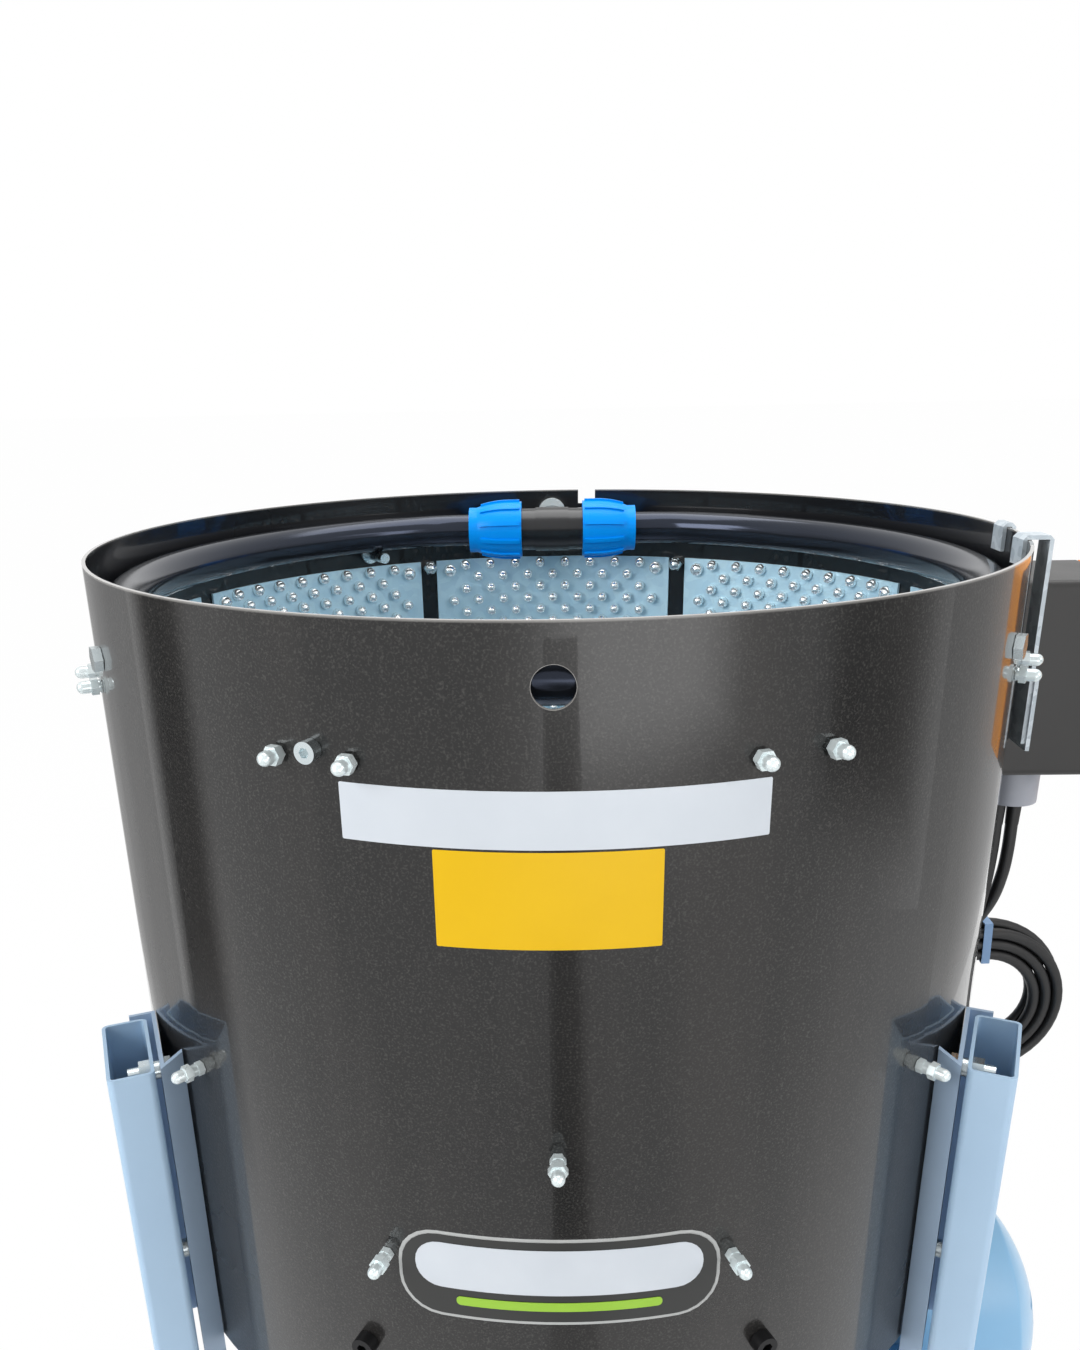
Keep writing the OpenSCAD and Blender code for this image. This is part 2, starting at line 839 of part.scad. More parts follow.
module tee_nuts() {
  start = tee_length / 2 - tee_nut_l;
  mouth = body_half - start + seat_room;
  rib_in = nut_small_r + seat_room;
  color("#1287e6")
    for (s = [0, 1])
      mirror([s, 0, 0])
        translate([start, run_y, pipe_z])
          rotate([0, quarter_turn, 0])
            difference() {
              union() {
                rotate_extrude()
                  nut_profile(0);
                for (k = [0 : nut_rib_count - 1])
                  rotate([0, 0, k * full_turn / nut_rib_count])
                    intersection() {
                      rotate_extrude()
                        nut_profile(nut_rib_h);
                      translate([rib_in, -nut_rib_w / 2, nut_rib_h])
                        cube([tee_nut_d / 2, nut_rib_w, tee_nut_l * nut_rib_share - nut_rib_h]);
                    }
              }
              translate([0, 0, -over])
                cylinder(h = mouth + over, r = tee_r + seat_room);
              cylinder(h = tee_nut_l + over, r = pipe_r + seat_room);
            }
}

// Threaded nipple from the tee's branch out through the drum, with a flange and a round boss
nipple_start = run_y + tee_r + over;
nipple_end = drum_r + locknut_t + valve_gap + valve_hex_l - over;
module inlet_nipple() {
  color("#c8d4d8")
    translate([0, nipple_start, pipe_z])
      rotate([-quarter_turn, 0, 0])
        difference() {
          union() {
            cylinder(h = nipple_end - nipple_start, r = nipple_r);
            translate([0, 0, run_y + tee_branch_l + seat_room - nipple_start])
              cylinder(h = inlet_flange_t - over - seat_room, r = inlet_flange_r);
            translate([0, -boss_rise, run_y + tee_branch_l + seat_room - nipple_start])
              cylinder(h = inlet_flange_t - over - 2 * seat_room, r = boss_r);
          }
          translate([0, 0, -over])
            cylinder(h = nipple_end - nipple_start + 2 * over, r = nipple_r * bore_share);
        }
}

module inlet_locknut() {
  color("#b9a15a")
    translate([0, drum_r + seat_room, pipe_z])
      rotate([-quarter_turn, 0, 0])
        difference() {
          cylinder(h = locknut_t, r = locknut_r, $fn = hex);
          translate([0, 0, -over])
            cylinder(h = locknut_t + 2 * over, r = nipple_r + thread_room);
        }
}

// Ball valve on the nipple, with a hose tail
valve_y = drum_r + locknut_t + valve_gap;
valve_mid = valve_y + valve_l / 2;
lever_z = pipe_z + valve_r + valve_neck_h;
module valve_body() {
  color("#b9a15a")
    difference() {
      union() {
        translate([0, valve_y, pipe_z])
          rotate([-quarter_turn, 0, 0]) {
            cylinder(h = valve_hex_l, r = valve_hex_r, $fn = hex);
            translate([0, 0, valve_hex_l])
              cylinder(h = valve_l - 2 * valve_hex_l, r = valve_r - valve_neck_h);
            translate([0, 0, valve_l - valve_hex_l])
              cylinder(h = valve_hex_l, r = valve_hex_r, $fn = hex);
            translate([0, 0, valve_l])
              cylinder(h = tail_l, r = tail_r);
            for (k = [1 : tail_barb_count])
              translate([0, 0, valve_l + k * tail_l / tail_barb_steps])
                cylinder(h = tail_l / (tail_barb_steps + 1), r1 = tail_r, r2 = tail_barb_r);
          }
        translate([0, valve_mid, pipe_z])
          cylinder(h = lever_z - pipe_z, r = 2 * valve_stem_r);
      }
      translate([0, valve_y - over, pipe_z])
        rotate([-quarter_turn, 0, 0]) {
          cylinder(h = valve_hex_l + over, r = nipple_r + thread_room);
          cylinder(h = valve_l + tail_l + 2 * over, r = tail_r * bore_share);
        }
      translate([0, valve_mid, lever_z - 2 * valve_stem_r])
        cylinder(h = 2 * valve_stem_r + over, r = valve_stem_r + run_room);
    }
}

// Lever on its stem, lying across the flow while the valve is shut
module valve_lever() {
  color("#c23a2e")
    translate([0, valve_mid, lever_z]) {
      translate([0, 0, -valve_stem_r])
        cylinder(h = valve_stem_r + seat_room + lever_t, r = valve_stem_r);
      translate([0, 0, seat_room])
        cylinder(h = lever_t, r = lever_w * lever_eye_share);
      translate([-lever_l, -lever_w / 2, seat_room])
        cube([lever_l, lever_w, lever_t]);
      translate([-lever_l, 0, seat_room])
        cylinder(h = lever_t, d = lever_w);
    }
}

// A leg's frame: x along the drum's tangent, -y outwards, at the front right
module leg_place(front, right) {
  mirror([right ? 0 : 1, 0, 0])
    mirror([0, front ? 0 : 1, 0])
      rotate([0, 0, leg_az])
        children();
}

// The plan point at a distance along the normal and along the tangent
function leg_point(n, t) = [
  n * sin(leg_az) + t * cos(leg_az),
  t * sin(leg_az) - n * cos(leg_az)
];

module leg(front, right) {
  color("#a3bedc")
    leg_place(front, right)
      difference() {
        union() {
          translate([leg_shift - tube_w / 2, -tube_n - tube_d, foot_t])
            linear_extrude(leg_top - foot_t)
              round_square(tube_w, tube_d, tube_edge);
          translate([leg_shift - tube_w / 2 - foot_side, -tube_n - tube_d - foot_out, 0])
            cube([tube_w + 2 * foot_side, foot_in + tube_d + foot_out, foot_t]);
        }
        translate([leg_shift - tube_w / 2 + tube_wall, -tube_n - tube_d + tube_wall, foot_t])
          linear_extrude(leg_top)
            round_square(tube_w - 2 * tube_wall, tube_d - 2 * tube_wall, tube_edge - tube_wall);
        translate([leg_shift, -tube_n - tube_d - anchor_reach, -over])
          cylinder(h = foot_t + 2 * over, d = anchor_d);
        leg_bolt_holes();
      }
}

module leg_bolt_holes() {
  for (drop = leg_bolt_drops)
    translate([leg_shift, -tube_n - tube_wall - over, rim_z - drop])
      rotate([-quarter_turn, 0, 0])
        cylinder(h = tube_n + tube_wall - web_n + 2 * over, r = leg_bolt_d / 2 + hole_room);
}

// Folded brackets between the drum and the legs: a web, a slanted lip on the drum and a rear flange
module leg_brackets() {
  lip_w = bracket_t * sqrt(2);
  lip_end = bracket_front + lip_run;
  lip_n = sqrt(lip_r * lip_r - pow(lip_end + lip_w, 2));
  out_n = web_n + bracket_t;
  inner_t = bracket_front + lip_w + lip_run * bracket_t / (out_n - lip_n);
  flange_n = tube_n + rear_flange_reach;
  color("#7f93ab")
    for (front = [true, false], right = [true, false])
      leg_place(front, right)
        difference() {
          translate([0, 0, bracket_base_z])
            linear_extrude(leg_top - bracket_base_z)
              polygon([[bracket_front, -out_n], [lip_end, -lip_n], [lip_end + lip_w, -lip_n],
                [inner_t, -web_n], [bracket_rear, -web_n], [bracket_rear, -flange_n],
                [bracket_rear - bracket_t, -flange_n], [bracket_rear - bracket_t, -out_n]]);
          leg_bolt_holes();
        }
}

module leg_bolts() {
  color("#c8d4d8")
    for (front = [true, false], right = [true, false])
      leg_place(front, right)
        for (drop = leg_bolt_drops)
          translate([leg_shift, -web_n, rim_z - drop])
            rotate([quarter_turn, 0, 0]) {
              translate([0, 0, -leg_head_h])
                cylinder(h = leg_head_h, r = leg_head_r, $fn = hex);
              cylinder(h = tube_n + tube_wall - web_n + 2 * leg_nut_h, d = leg_bolt_d);
              translate([0, 0, bracket_t])
                cylinder(h = tube_n - web_n - bracket_t, r = leg_spacer_r);
              translate([0, 0, tube_n + tube_wall - web_n])
                cylinder(h = leg_nut_h, r = leg_head_r, $fn = hex);
            }
}

// A hollow brace over a plan outline, open at its ends
module brace(outline, hollow) {
  translate([0, 0, brace_z])
    difference() {
      linear_extrude(brace_h)
        polygon(outline);
      translate([0, 0, brace_wall])
        linear_extrude(brace_h - 2 * brace_wall)
          polygon(hollow);
    }
}

// Where a line along Y at x meets the rear face of a front leg, and along X at -y its inner face
function side_end(x) = let (p = leg_point(tube_n, leg_shift + tube_w / 2))
  p[1] - (x - p[0]) / tan(leg_az);
function cross_end(y) = let (p = leg_point(tube_n, leg_shift))
  p[0] + (y - p[1]) / tan(leg_az);

module side_braces() {
  x0 = side_brace_x;
  x1 = side_brace_x + brace_w;
  a = x0 + brace_wall;
  b = x1 - brace_wall;
  color("#a3bedc")
    for (s = [0, 1])
      mirror([s, 0, 0])
        brace(
          [[x0, side_end(x0)], [x1, side_end(x1)], [x1, -side_end(x1)], [x0, -side_end(x0)]],
          [[a, side_end(a) - over], [b, side_end(b) - over], [b, over - side_end(b)], [a, over - side_end(a)]]
        );
}

module cross_braces() {
  y0 = -cross_brace_y;
  y1 = brace_w - cross_brace_y;
  a = y0 + brace_wall;
  b = y1 - brace_wall;
  color("#a3bedc")
    for (s = [0, 1])
      mirror([0, s, 0])
        brace(
          [[-cross_end(y0), y0], [cross_end(y0), y0], [cross_end(y1), y1], [-cross_end(y1), y1]],
          [[-cross_end(a) - over, a], [cross_end(a) + over, a], [cross_end(b) + over, b], [-cross_end(b) - over, b]]
        );
}

// Floor pan with its turned-up flange, a shaft hole and the waste hole
module floor_pan() {
  color("#3a3a3a")
    difference() {
      translate([0, 0, pan_z])
        cylinder(h = pan_flange_h, r = pan_r);
      translate([0, 0, pan_z + pan_t])
        cylinder(h = pan_flange_h, r = pan_r - pan_t);
      translate([0, 0, pan_z - over])
        cylinder(h = pan_t + 2 * over, r = bearing_r);
      housing_bolt_places(pan_z - over)
        cylinder(h = pan_t + 2 * over, r = housing_bolt_d / 2 + hole_room);
      translate([-spout_reach - spout_d / 2 + spout_wall, spout_wall - spout_w / 2, pan_z - over])
        cube([spout_d - 2 * spout_wall, spout_w - 2 * spout_wall, pan_t + 2 * over]);
      for (k = [0 : panel_count - 1])
        outward(floor_bolt_az + k * panel_step, pan_r - 2 * pan_t, floor_bolt_z)
          cylinder(h = 3 * pan_t, r = floor_bolt_d / 2 + hole_room);
    }
}

module floor_bolts() {
  color("#1c1c1d")
    for (k = [0 : panel_count - 1])
      outward(floor_bolt_az + k * panel_step, drum_r + seat_room, floor_bolt_z)
        difference() {
          union() {
            cylinder(h = floor_head_h, r = floor_head_r);
            translate([0, 0, pan_r - pan_t - drum_r - 2 * seat_room - floor_nut_h])
              cylinder(h = drum_r - pan_r + pan_t + 2 * seat_room + floor_nut_h, d = floor_bolt_d);
            translate([0, 0, pan_r - pan_t - drum_r - 2 * seat_room - floor_nut_h])
              cylinder(h = floor_nut_h, r = floor_nut_r, $fn = hex);
          }
          translate([0, 0, floor_head_h / 2])
            cylinder(h = floor_head_h, r = floor_head_r / 2, $fn = hex);
        }
}

// Waste spout under the pan, cut to a slope at its foot
module waste_spout() {
  color("#3a3a3a")
    difference() {
      union() {
        translate([-spout_reach - spout_d / 2, -spout_w / 2, pan_z - spout_h])
          cube([spout_d, spout_w, spout_h]);
        translate([-spout_reach - spout_d / 2 - spout_flange, -spout_w / 2 - spout_flange, pan_z - 2 * spout_wall])
          cube([spout_d + 2 * spout_flange, spout_w + 2 * spout_flange, 2 * spout_wall]);
      }
      translate([-spout_reach - spout_d / 2 + spout_wall, spout_wall - spout_w / 2, pan_z - spout_h - over])
        cube([spout_d - 2 * spout_wall, spout_w - 2 * spout_wall, spout_h + 2 * over]);
      translate([-spout_reach, spout_w, pan_z - spout_h])
        rotate([quarter_turn, 0, 0])
          linear_extrude(2 * spout_w)
            polygon([[-spout_d, -over], [spout_d / 2 + over, -over], [spout_d / 2 + over, spout_slope],
              [-spout_d / 2 - over, 0], [-spout_d, 0]]);
    }
}

module housing_bolt_places(z) {
  for (k = [0 : housing_bolt_count - 1])
    rotate([0, 0, (k + 1 / 2) * full_turn / housing_bolt_count])
      translate([housing_bolt_ring, 0, z])
        children();
}

// Flanged bearing housing between the pan and the gearbox
module bearing_housing() {
  color("#6f7a86")
    difference() {
      union() {
        translate([0, 0, cover_top])
          cylinder(h = pan_z - cover_top, r = housing_r);
        translate([0, 0, pan_z - housing_flange_t])
          cylinder(h = housing_flange_t, r = housing_flange_r);
        translate([0, 0, cover_top])
          cylinder(h = housing_flange_t, r = foot_flange_r);
      }
      translate([0, 0, cover_top - over])
        cylinder(h = pan_z - cover_top + 2 * over, r = shoulder_r);
      translate([0, 0, cover_top - over])
        cylinder(h = bearing_w + over, r = bearing_r + run_room);
      translate([0, 0, pan_z - bearing_w])
        cylinder(h = bearing_w + over, r = bearing_r + run_room);
      housing_bolt_places(pan_z - housing_flange_t - over)
        cylinder(h = housing_flange_t + 2 * over, r = housing_bolt_d / 2 + hole_room);
      gearbox_bolt_places(cover_top - over)
        cylinder(h = housing_flange_t + 2 * over, r = gearbox_bolt_r + hole_room);
    }
}

gearbox_bolt_r = 3;
gearbox_bolt_ring = 65;
gearbox_bolt_l = 34;
gearbox_bolt_turn = 15;
module gearbox_bolt_places(z) {
  rotate([0, 0, gearbox_bolt_turn])
    for (k = [0 : housing_bolt_count - 1])
      rotate([0, 0, k * full_turn / housing_bolt_count])
        translate([gearbox_bolt_ring, 0, z])
          children();
}

// Bolts of the bearing housing and of the gearbox under it
module housing_bolts() {
  color("#c8d4d8") {
    housing_bolt_places(pan_z - housing_flange_t) {
      translate([0, 0, -housing_bolt_d * 2 / 3])
        cylinder(h = housing_bolt_d * 2 / 3, r = housing_bolt_d * hex_head_share, $fn = hex);
      cylinder(h = housing_flange_t + pan_t + housing_bolt_d, d = housing_bolt_d);
      translate([0, 0, housing_flange_t + pan_t])
        cylinder(h = housing_bolt_d * 2 / 3, r = housing_bolt_d * hex_head_share, $fn = hex);
    }
    gearbox_bolt_places(cover_top + housing_flange_t) {
      cylinder(h = 2 * gearbox_bolt_r, r = 2 * gearbox_bolt_r, $fn = hex);
      translate([0, 0, -gearbox_bolt_l])
        cylinder(h = gearbox_bolt_l, r = gearbox_bolt_r);
    }
  }
}

module bearings() {
  color("#b8bec4")
    for (z = [cover_top, pan_z - bearing_w])
      translate([0, 0, z])
        difference() {
          cylinder(h = bearing_w, r = bearing_r);
          translate([0, 0, -over])
            cylinder(h = bearing_w + 2 * over, r = shaft_r + run_room);
        }
}

// Upright shaft from the worm wheel to the disc
shaft_base = worm_z - wheel_t / 2;
shaft_collar_r = shaft_r + collar_step;
module drive_shaft() {
  color("#aeb4ba") {
    translate([0, 0, shaft_base])
      cylinder(h = disc_top - shaft_base, r = shaft_r);
    translate([0, 0, cover_top + bearing_w])
      cylinder(h = pan_z - cover_top - 2 * bearing_w - seat_room, r = shaft_collar_r);
  }
}

// Spinning disc with its hub and two sweeper blades under it
module rotor_disc() {
  color("#8d99a6")
    difference() {
      union() {
        translate([0, 0, disc_base])
          cylinder(h = disc_t, r = disc_r);
        translate([0, 0, disc_base - hub_h])
          cylinder(h = hub_h, r = hub_r);
        for (s = [0, 1])
          rotate([0, 0, s * half_turn + half_turn / rib_count])
            translate([hub_r - over, -sweeper_t / 2, disc_base - sweeper_w])
              cube([pan_r - pan_t - floor_nut_h - sweeper_w / 2 - hub_r, sweeper_t, sweeper_w]);
      }
      translate([0, 0, disc_base - sweeper_w - over])
        cylinder(h = disc_t + sweeper_w + 2 * over, r = shaft_r + thread_room);
      for (k = [0 : rib_count - 1])
        rotate([0, 0, k * full_turn / rib_count])
          for (f = rib_screw_shares)
            translate([rib_start + f * rib_l, 0, disc_base - over])
              cylinder(h = disc_t + 2 * over, r = rib_screw_r + hole_room);
    }
}

rib_screw_shares = [0.15, 0.85];
rib_screw_r = 4;
rib_l = disc_r - rib_margin - rib_start;
// Rounded ribs that throw the nuts against the wall, with their screws
module rotor_ribs() {
  color("#a7b2bd")
    for (k = [0 : rib_count - 1])
      rotate([0, 0, k * full_turn / rib_count])
        translate([rib_start, 0, disc_top]) {
          rotate([quarter_turn, 0, quarter_turn])
            linear_extrude(rib_l)
              intersection() {
                translate([0, rib_h - rib_w])
                  circle(r = rib_w);
                translate([-rib_w / 2, 0])
                  square([rib_w, rib_h]);
              }
          for (f = rib_screw_shares)
            translate([f * rib_l, 0, -disc_t - rib_screw_r]) {
              cylinder(h = disc_t + 2 * rib_screw_r, r = rib_screw_r);
              cylinder(h = rib_screw_r, r = 2 * rib_screw_r, $fn = hex);
            }
        }
}

module hub_cap() {
  color("#93a6ba")
    difference() {
      translate([0, 0, disc_top]) {
        intersection() {
          translate([0, 0, cap_h - cap_r])
            sphere(r = cap_r);
          cylinder(h = cap_h, r = cap_r);
        }
        translate([0, 0, cap_h - cap_bolt_r])
          cylinder(h = 2 * cap_bolt_r, r = 2 * cap_bolt_r, $fn = hex);
      }
    }
}

// Gearbox: an upright chamber for the wheel and a barrel for the worm
module gearbox_housing() {
  color("#8a97a5")
    difference() {
      union() {
        translate([0, 0, gearbox_base])
          cylinder(h = 2 * gear_half, r = gearbox_r);
        rod(-gearbox_flange_x, -worm_offset, worm_z, worm_barrel_r, 2 * gearbox_flange_x);
        rod(gearbox_flange_x, -worm_offset, worm_z, gearbox_flange_r, gearbox_flange_t);
      }
      translate([0, 0, gearbox_base + gear_wall])
        cylinder(h = 2 * gear_half, r = gear_chamber_r);
      rod(-worm_half - worm_end_room, -worm_offset, worm_z, worm_bore_r, 2 * worm_half + 2 * worm_end_room);
      rod(-gearbox_flange_x + barrel_cap, -worm_offset, worm_z, worm_journal_r + run_room, gearbox_flange_x);
      rod(0, -worm_offset, worm_z, motor_journal_r + run_room, gearbox_flange_x + gearbox_flange_t + over);
      gearbox_bolt_places(cover_top + housing_flange_t - gearbox_bolt_l - over)
        cylinder(h = gearbox_bolt_l, r = gearbox_bolt_r + hole_room);
    }
}

module gearbox_cover() {
  color("#7c8895")
    difference() {
      translate([0, 0, gearbox_top])
        cylinder(h = cover_t, r = gearbox_r);
      translate([0, 0, gearbox_top - over])
        cylinder(h = cover_t + 2 * over, r = shaft_r + cover_hole_room);
      gearbox_bolt_places(gearbox_top - over)
        cylinder(h = cover_t + 2 * over, r = gearbox_bolt_r + hole_room);
    }
}

// Worm wheel on the shaft's foot; the teeth stop short of the worm
module worm_wheel() {
  color("#b08d4a")
    difference() {
      union() {
        translate([0, 0, worm_z - wheel_t / 2])
          cylinder(h = wheel_t, r = wheel_r - tooth_depth);
        for (k = [0 : wheel_teeth - 1])
          rotate([0, 0, k * full_turn / wheel_teeth])
            translate([wheel_r / 2, -tooth_w / 2, worm_z - wheel_t / 2])
              cube([wheel_r / 2, tooth_w, wheel_t]);
      }
      translate([0, 0, worm_z - wheel_t])
        cylinder(h = 2 * wheel_t, r = shaft_r + thread_room);
    }
}

// Worm, motor rotor and fan shaft in one turned piece
module worm_shaft() {
  color("#aeb4ba") {
    rod(-gearbox_flange_x + barrel_cap + worm_end_room, -worm_offset, worm_z, worm_journal_r, gearbox_flange_x);
    rod(-worm_half, -worm_offset, worm_z, worm_r - worm_thread_depth, 2 * worm_half);
    for (k = [0 : worm_threads - 1])
      rod((k - worm_threads / 2) * 2 * worm_thread_w + worm_thread_w / 2, -worm_offset, worm_z, worm_r, worm_thread_w);
    rod(0, -worm_offset, worm_z, motor_journal_r, shaft_tip_x);
    rod(stator_x + (stator_l - rotor_core_l) / 2, -worm_offset, worm_z, rotor_core_r, rotor_core_l);
  }
}

module motor_stator() {
  color("#86b4d8")
    difference() {
      union() {
        rod(stator_x, -worm_offset, worm_z, stator_core_r, stator_l);
        for (k = [0 : fin_count - 1])
          translate([stator_x, -worm_offset, worm_z])
            rotate([k * full_turn / fin_count, 0, 0])
              translate([0, -fin_t / 2, stator_core_r - fin_sink])
                cube([stator_l, fin_t, stator_r - stator_core_r + fin_sink]);
      }
      rod(stator_x - over, -worm_offset, worm_z, stator_bore_r, stator_l + 2 * over);
    }
}

module motor_shields() {
  color("#7aa8cc")
    for (x = [motor_start_x, rear_shield_x])
      difference() {
        rod(x, -worm_offset, worm_z, shield_r, shield_t);
        rod(x - over, -worm_offset, worm_z, motor_journal_r + run_room, shield_t + 2 * over);
      }
}

module motor_fan() {
  color("#2a2a2c")
    difference() {
      union() {
        rod(fan_x, -worm_offset, worm_z, fan_hub_r, fan_w);
        for (k = [0 : fan_blades - 1])
          translate([fan_x, -worm_offset, worm_z])
            rotate([k * full_turn / fan_blades, 0, 0])
              translate([over, -fan_blade_t / 2, fan_hub_r - fan_blade_t])
                cube([fan_w - 2 * over, fan_blade_t, fan_r - fan_hub_r + fan_blade_t]);
      }
      rod(fan_x - over, -worm_offset, worm_z, motor_journal_r + thread_room, fan_w + 2 * over);
    }
}

// Round-ended profile of the cowl, out to radius r and up to height h
module cowl_profile(r, l, dome) {
  ball_r = (r * r + dome * dome) / (2 * dome);
  square([r, l]);
  intersection() {
    translate([0, l + dome - ball_r])
      circle(r = ball_r);
    square([r, l + dome]);
  }
}

module fan_cowl() {
  color("#86b9dd")
    difference() {
      translate([cowl_start_x, -worm_offset, worm_z])
        rotate([0, quarter_turn, 0])
          difference() {
            union() {
              rotate_extrude()
                cowl_profile(cowl_r, cowl_l, cowl_dome);
              rotate([0, 0, quarter_turn + cowl_lug_angle])
                translate([cowl_r - cowl_lug_h, 0, cowl_lug_reach])
                  rotate([0, quarter_turn, 0])
                    cylinder(h = 2 * cowl_lug_h, r = cowl_lug_r);
            }
            translate([0, 0, -over])
              rotate_extrude()
                cowl_profile(cowl_r - cowl_wall, cowl_l + over, cowl_dome - cowl_wall);
          }
      for (k = [0 : cowl_slot_count - 1], s = [0, 1])
        translate([cowl_end_x, -worm_offset, worm_z])
          mirror([0, s, 0])
            translate([0, cowl_slot_w, (k - (cowl_slot_count - 1) / 2) * 3 * cowl_slot_w])
              cube([2 * cowl_dome, cowl_r / 2, cowl_slot_w]);
    }
}

// Terminal box on the back of the motor, with its cable cone
terminal_z = worm_z;
module terminal_box() {
  color("#7aa8cc") {
    difference() {
      translate([terminal_x, stator_r - worm_offset - fin_t, terminal_z - terminal_h / 2])
        cube([terminal_w, terminal_y - stator_r + worm_offset + fin_t, terminal_h]);
      translate([terminal_x + terminal_wall, stator_r - worm_offset + fin_t, terminal_z - terminal_h / 2 + terminal_wall])
        cube([terminal_w - 2 * terminal_wall, terminal_y - stator_r + worm_offset - fin_t - terminal_lid_t,
          terminal_h - 2 * terminal_wall]);
      rod(stator_x, -worm_offset, worm_z, stator_r + seat_room, stator_l);
    }
    translate([terminal_x + terminal_w, lead_end[1], terminal_z])
      rotate([0, quarter_turn, 0])
        cylinder(h = terminal_cone_l, r1 = terminal_cone_r, r2 = cable_r + over);
  }
}

// Two flat hooks over the rim and the plate that they carry
module control_bracket() {
  color("#b4bcc2") {
    for (y = strap_ys) {
      edge = max(abs(y - strap_w / 2), abs(y + strap_w / 2));
      inner = sqrt(drum_in * drum_in - edge * edge) - seat_room - strap_t;
      translate([0, y + strap_w / 2, rim_z])
        rotate([quarter_turn, 0, 0])
          linear_extrude(strap_w)
            polygon([[inner, -strap_hook_in], [inner, strap_top - strap_t], [inner + strap_t, strap_top],
              [strap_x, strap_top], [plate_x, strap_top - strap_t], [plate_x, -strap_reach],
              [strap_x, -strap_reach], [strap_x, seat_room], [inner + strap_t, seat_room],
              [inner + strap_t, -strap_hook_in]]);
    }
    translate([plate_x, plate_y0, rim_z - plate_z_drop])
      cube([strap_t, plate_y1 - plate_y0, plate_h]);
  }
}

// A box with its four long edges rounded, along +X
module soft_box(x, d, inset) {
  r = box_edge - inset / 2;
  translate([x, 0, 0])
    rotate([quarter_turn, 0, quarter_turn])
      linear_extrude(d)
        translate([box_y + inset, box_base + inset])
          round_square(box_w - 2 * inset, box_h - 2 * inset, r);
}

module round_square(w, h, r) {
  translate([r, 0])
    square([w - 2 * r, h]);
  translate([0, r])
    square([w, h - 2 * r]);
  for (x = [r, w - r], y = [r, h - r])
    translate([x, y])
      circle(r = r);
}

module control_base() {
  color("#3a3736")
    difference() {
      soft_box(box_x, shell_d, 0);
      soft_box(box_x + box_wall, shell_d, box_wall);
    }
}

module control_cover() {
  color("#e08a1e")
    difference() {
      union() {
        soft_box(cover_x, groove_w, groove_d);
        soft_box(cover_x + groove_w, cover_d - groove_w, 0);
      }
      soft_box(cover_x - over, cover_d + over - box_wall, groove_d + box_wall);
      for (b = [[start_z, start_d], [stop_z, start_d]])
        rod(face_x - 2 * box_wall, button_y, b[0], b[1] / 2 + button_room, 4 * box_wall);
    }
}

module push_button(z, head_d) {
  rod(face_x + button_travel + box_wall / 2, button_y, z, head_d / 2, button_stand);
  rod(face_x - button_stem, button_y, z, start_d / 2, button_stem + button_travel + box_wall / 2);
  rod(face_x - button_stem, button_y, z, start_d / 2 + button_collar, button_collar);
}

module start_button() {
  color("#2f9a4a")
    push_button(start_z, start_d);
}

module stop_button() {
  color("#c8281f")
    push_button(stop_z, stop_d);
}

// Grey gland block under the box, with a tapered sleeve for each cable
module control_gland() {
  color("#a9adb8") {
    translate([gland_x, gland_y, box_base - gland_h]) {
      cylinder(h = gland_h - gland_edge, r = gland_r);
      translate([0, 0, gland_h - gland_edge])
        cylinder(h = gland_edge, r = gland_r + over);
    }
    for (x = [lead_x, supply_x])
      translate([x, gland_y, sleeve_end_z])
        cylinder(h = sleeve_l, r1 = cable_r + seat_room, r2 = (supply_x - lead_x) / 2 - seat_room);
  }
}

// Smooth points through a hand-made route, two steps to a span
function spline_point(a, b, c, d, t) =
  0.5 * (2 * b + (c - a) * t + (2 * a - 5 * b + 4 * c - d) * t * t + (3 * b - a - 3 * c + d) * t * t * t);
function route_point(p, i) = p[max(0, min(len(p) - 1, i))];
function smooth(p, steps) = concat(
  [for (i = [0 : len(p) - 2], s = [0 : steps - 1])
    spline_point(route_point(p, i - 1), p[i], p[i + 1], route_point(p, i + 2), s / steps)],
  [p[len(p) - 1]]
);
function unit(v) = v / norm(v);

// A tube swept along points that never run along Y, with given directions at its ends
module tube(p, r, sides, first, last) {
  n = len(p);
  points = [for (i = [0 : n - 1], k = [0 : sides - 1])
    let (t = i == 0 ? first : i == n - 1 ? last : unit(p[i + 1] - p[i - 1]))
    let (u = unit(cross(t, [0, 1, 0])))
    let (v = cross(t, u))
    p[i] + r * (cos(k * full_turn / sides) * u + sin(k * full_turn / sides) * v)];
  walls = [for (i = [0 : n - 2], k = [0 : sides - 1], half = [0, 1])
    let (a = i * sides + k)
    let (b = i * sides + (k + 1) % sides)
    half == 0 ? [a, a + sides, b + sides] : [a, b + sides, b]];
  e = (n - 1) * sides;
  caps = [for (k = [1 : sides - 2], end = [0, 1])
    end == 0 ? [0, k, k + 1] : [e, e + k + 1, e + k]];
  polyhedron(points = points, faces = concat(walls, caps));
}

down = [0, 0, -1];

// Coil: in from the outer turn, up a layer in the half turn at the middle, and out again
function coil_radius(u) = coil_out_r - coil_pitch * (coil_half - abs(u - coil_half));
function coil_layer(u) = coil_y - coil_layer_y
  + 2 * coil_layer_y * max(0, min(1, (u - coil_half + coil_climb / 2) / coil_climb));
function coil_point(u) = [
  coil_x - coil_radius(u) * cos(u * full_turn),
  coil_layer(u),
  coil_z - coil_radius(u) * sin(u * full_turn)
];
coil_points = [for (i = [0 : coil_turns * coil_rings]) coil_point(i / coil_rings)];
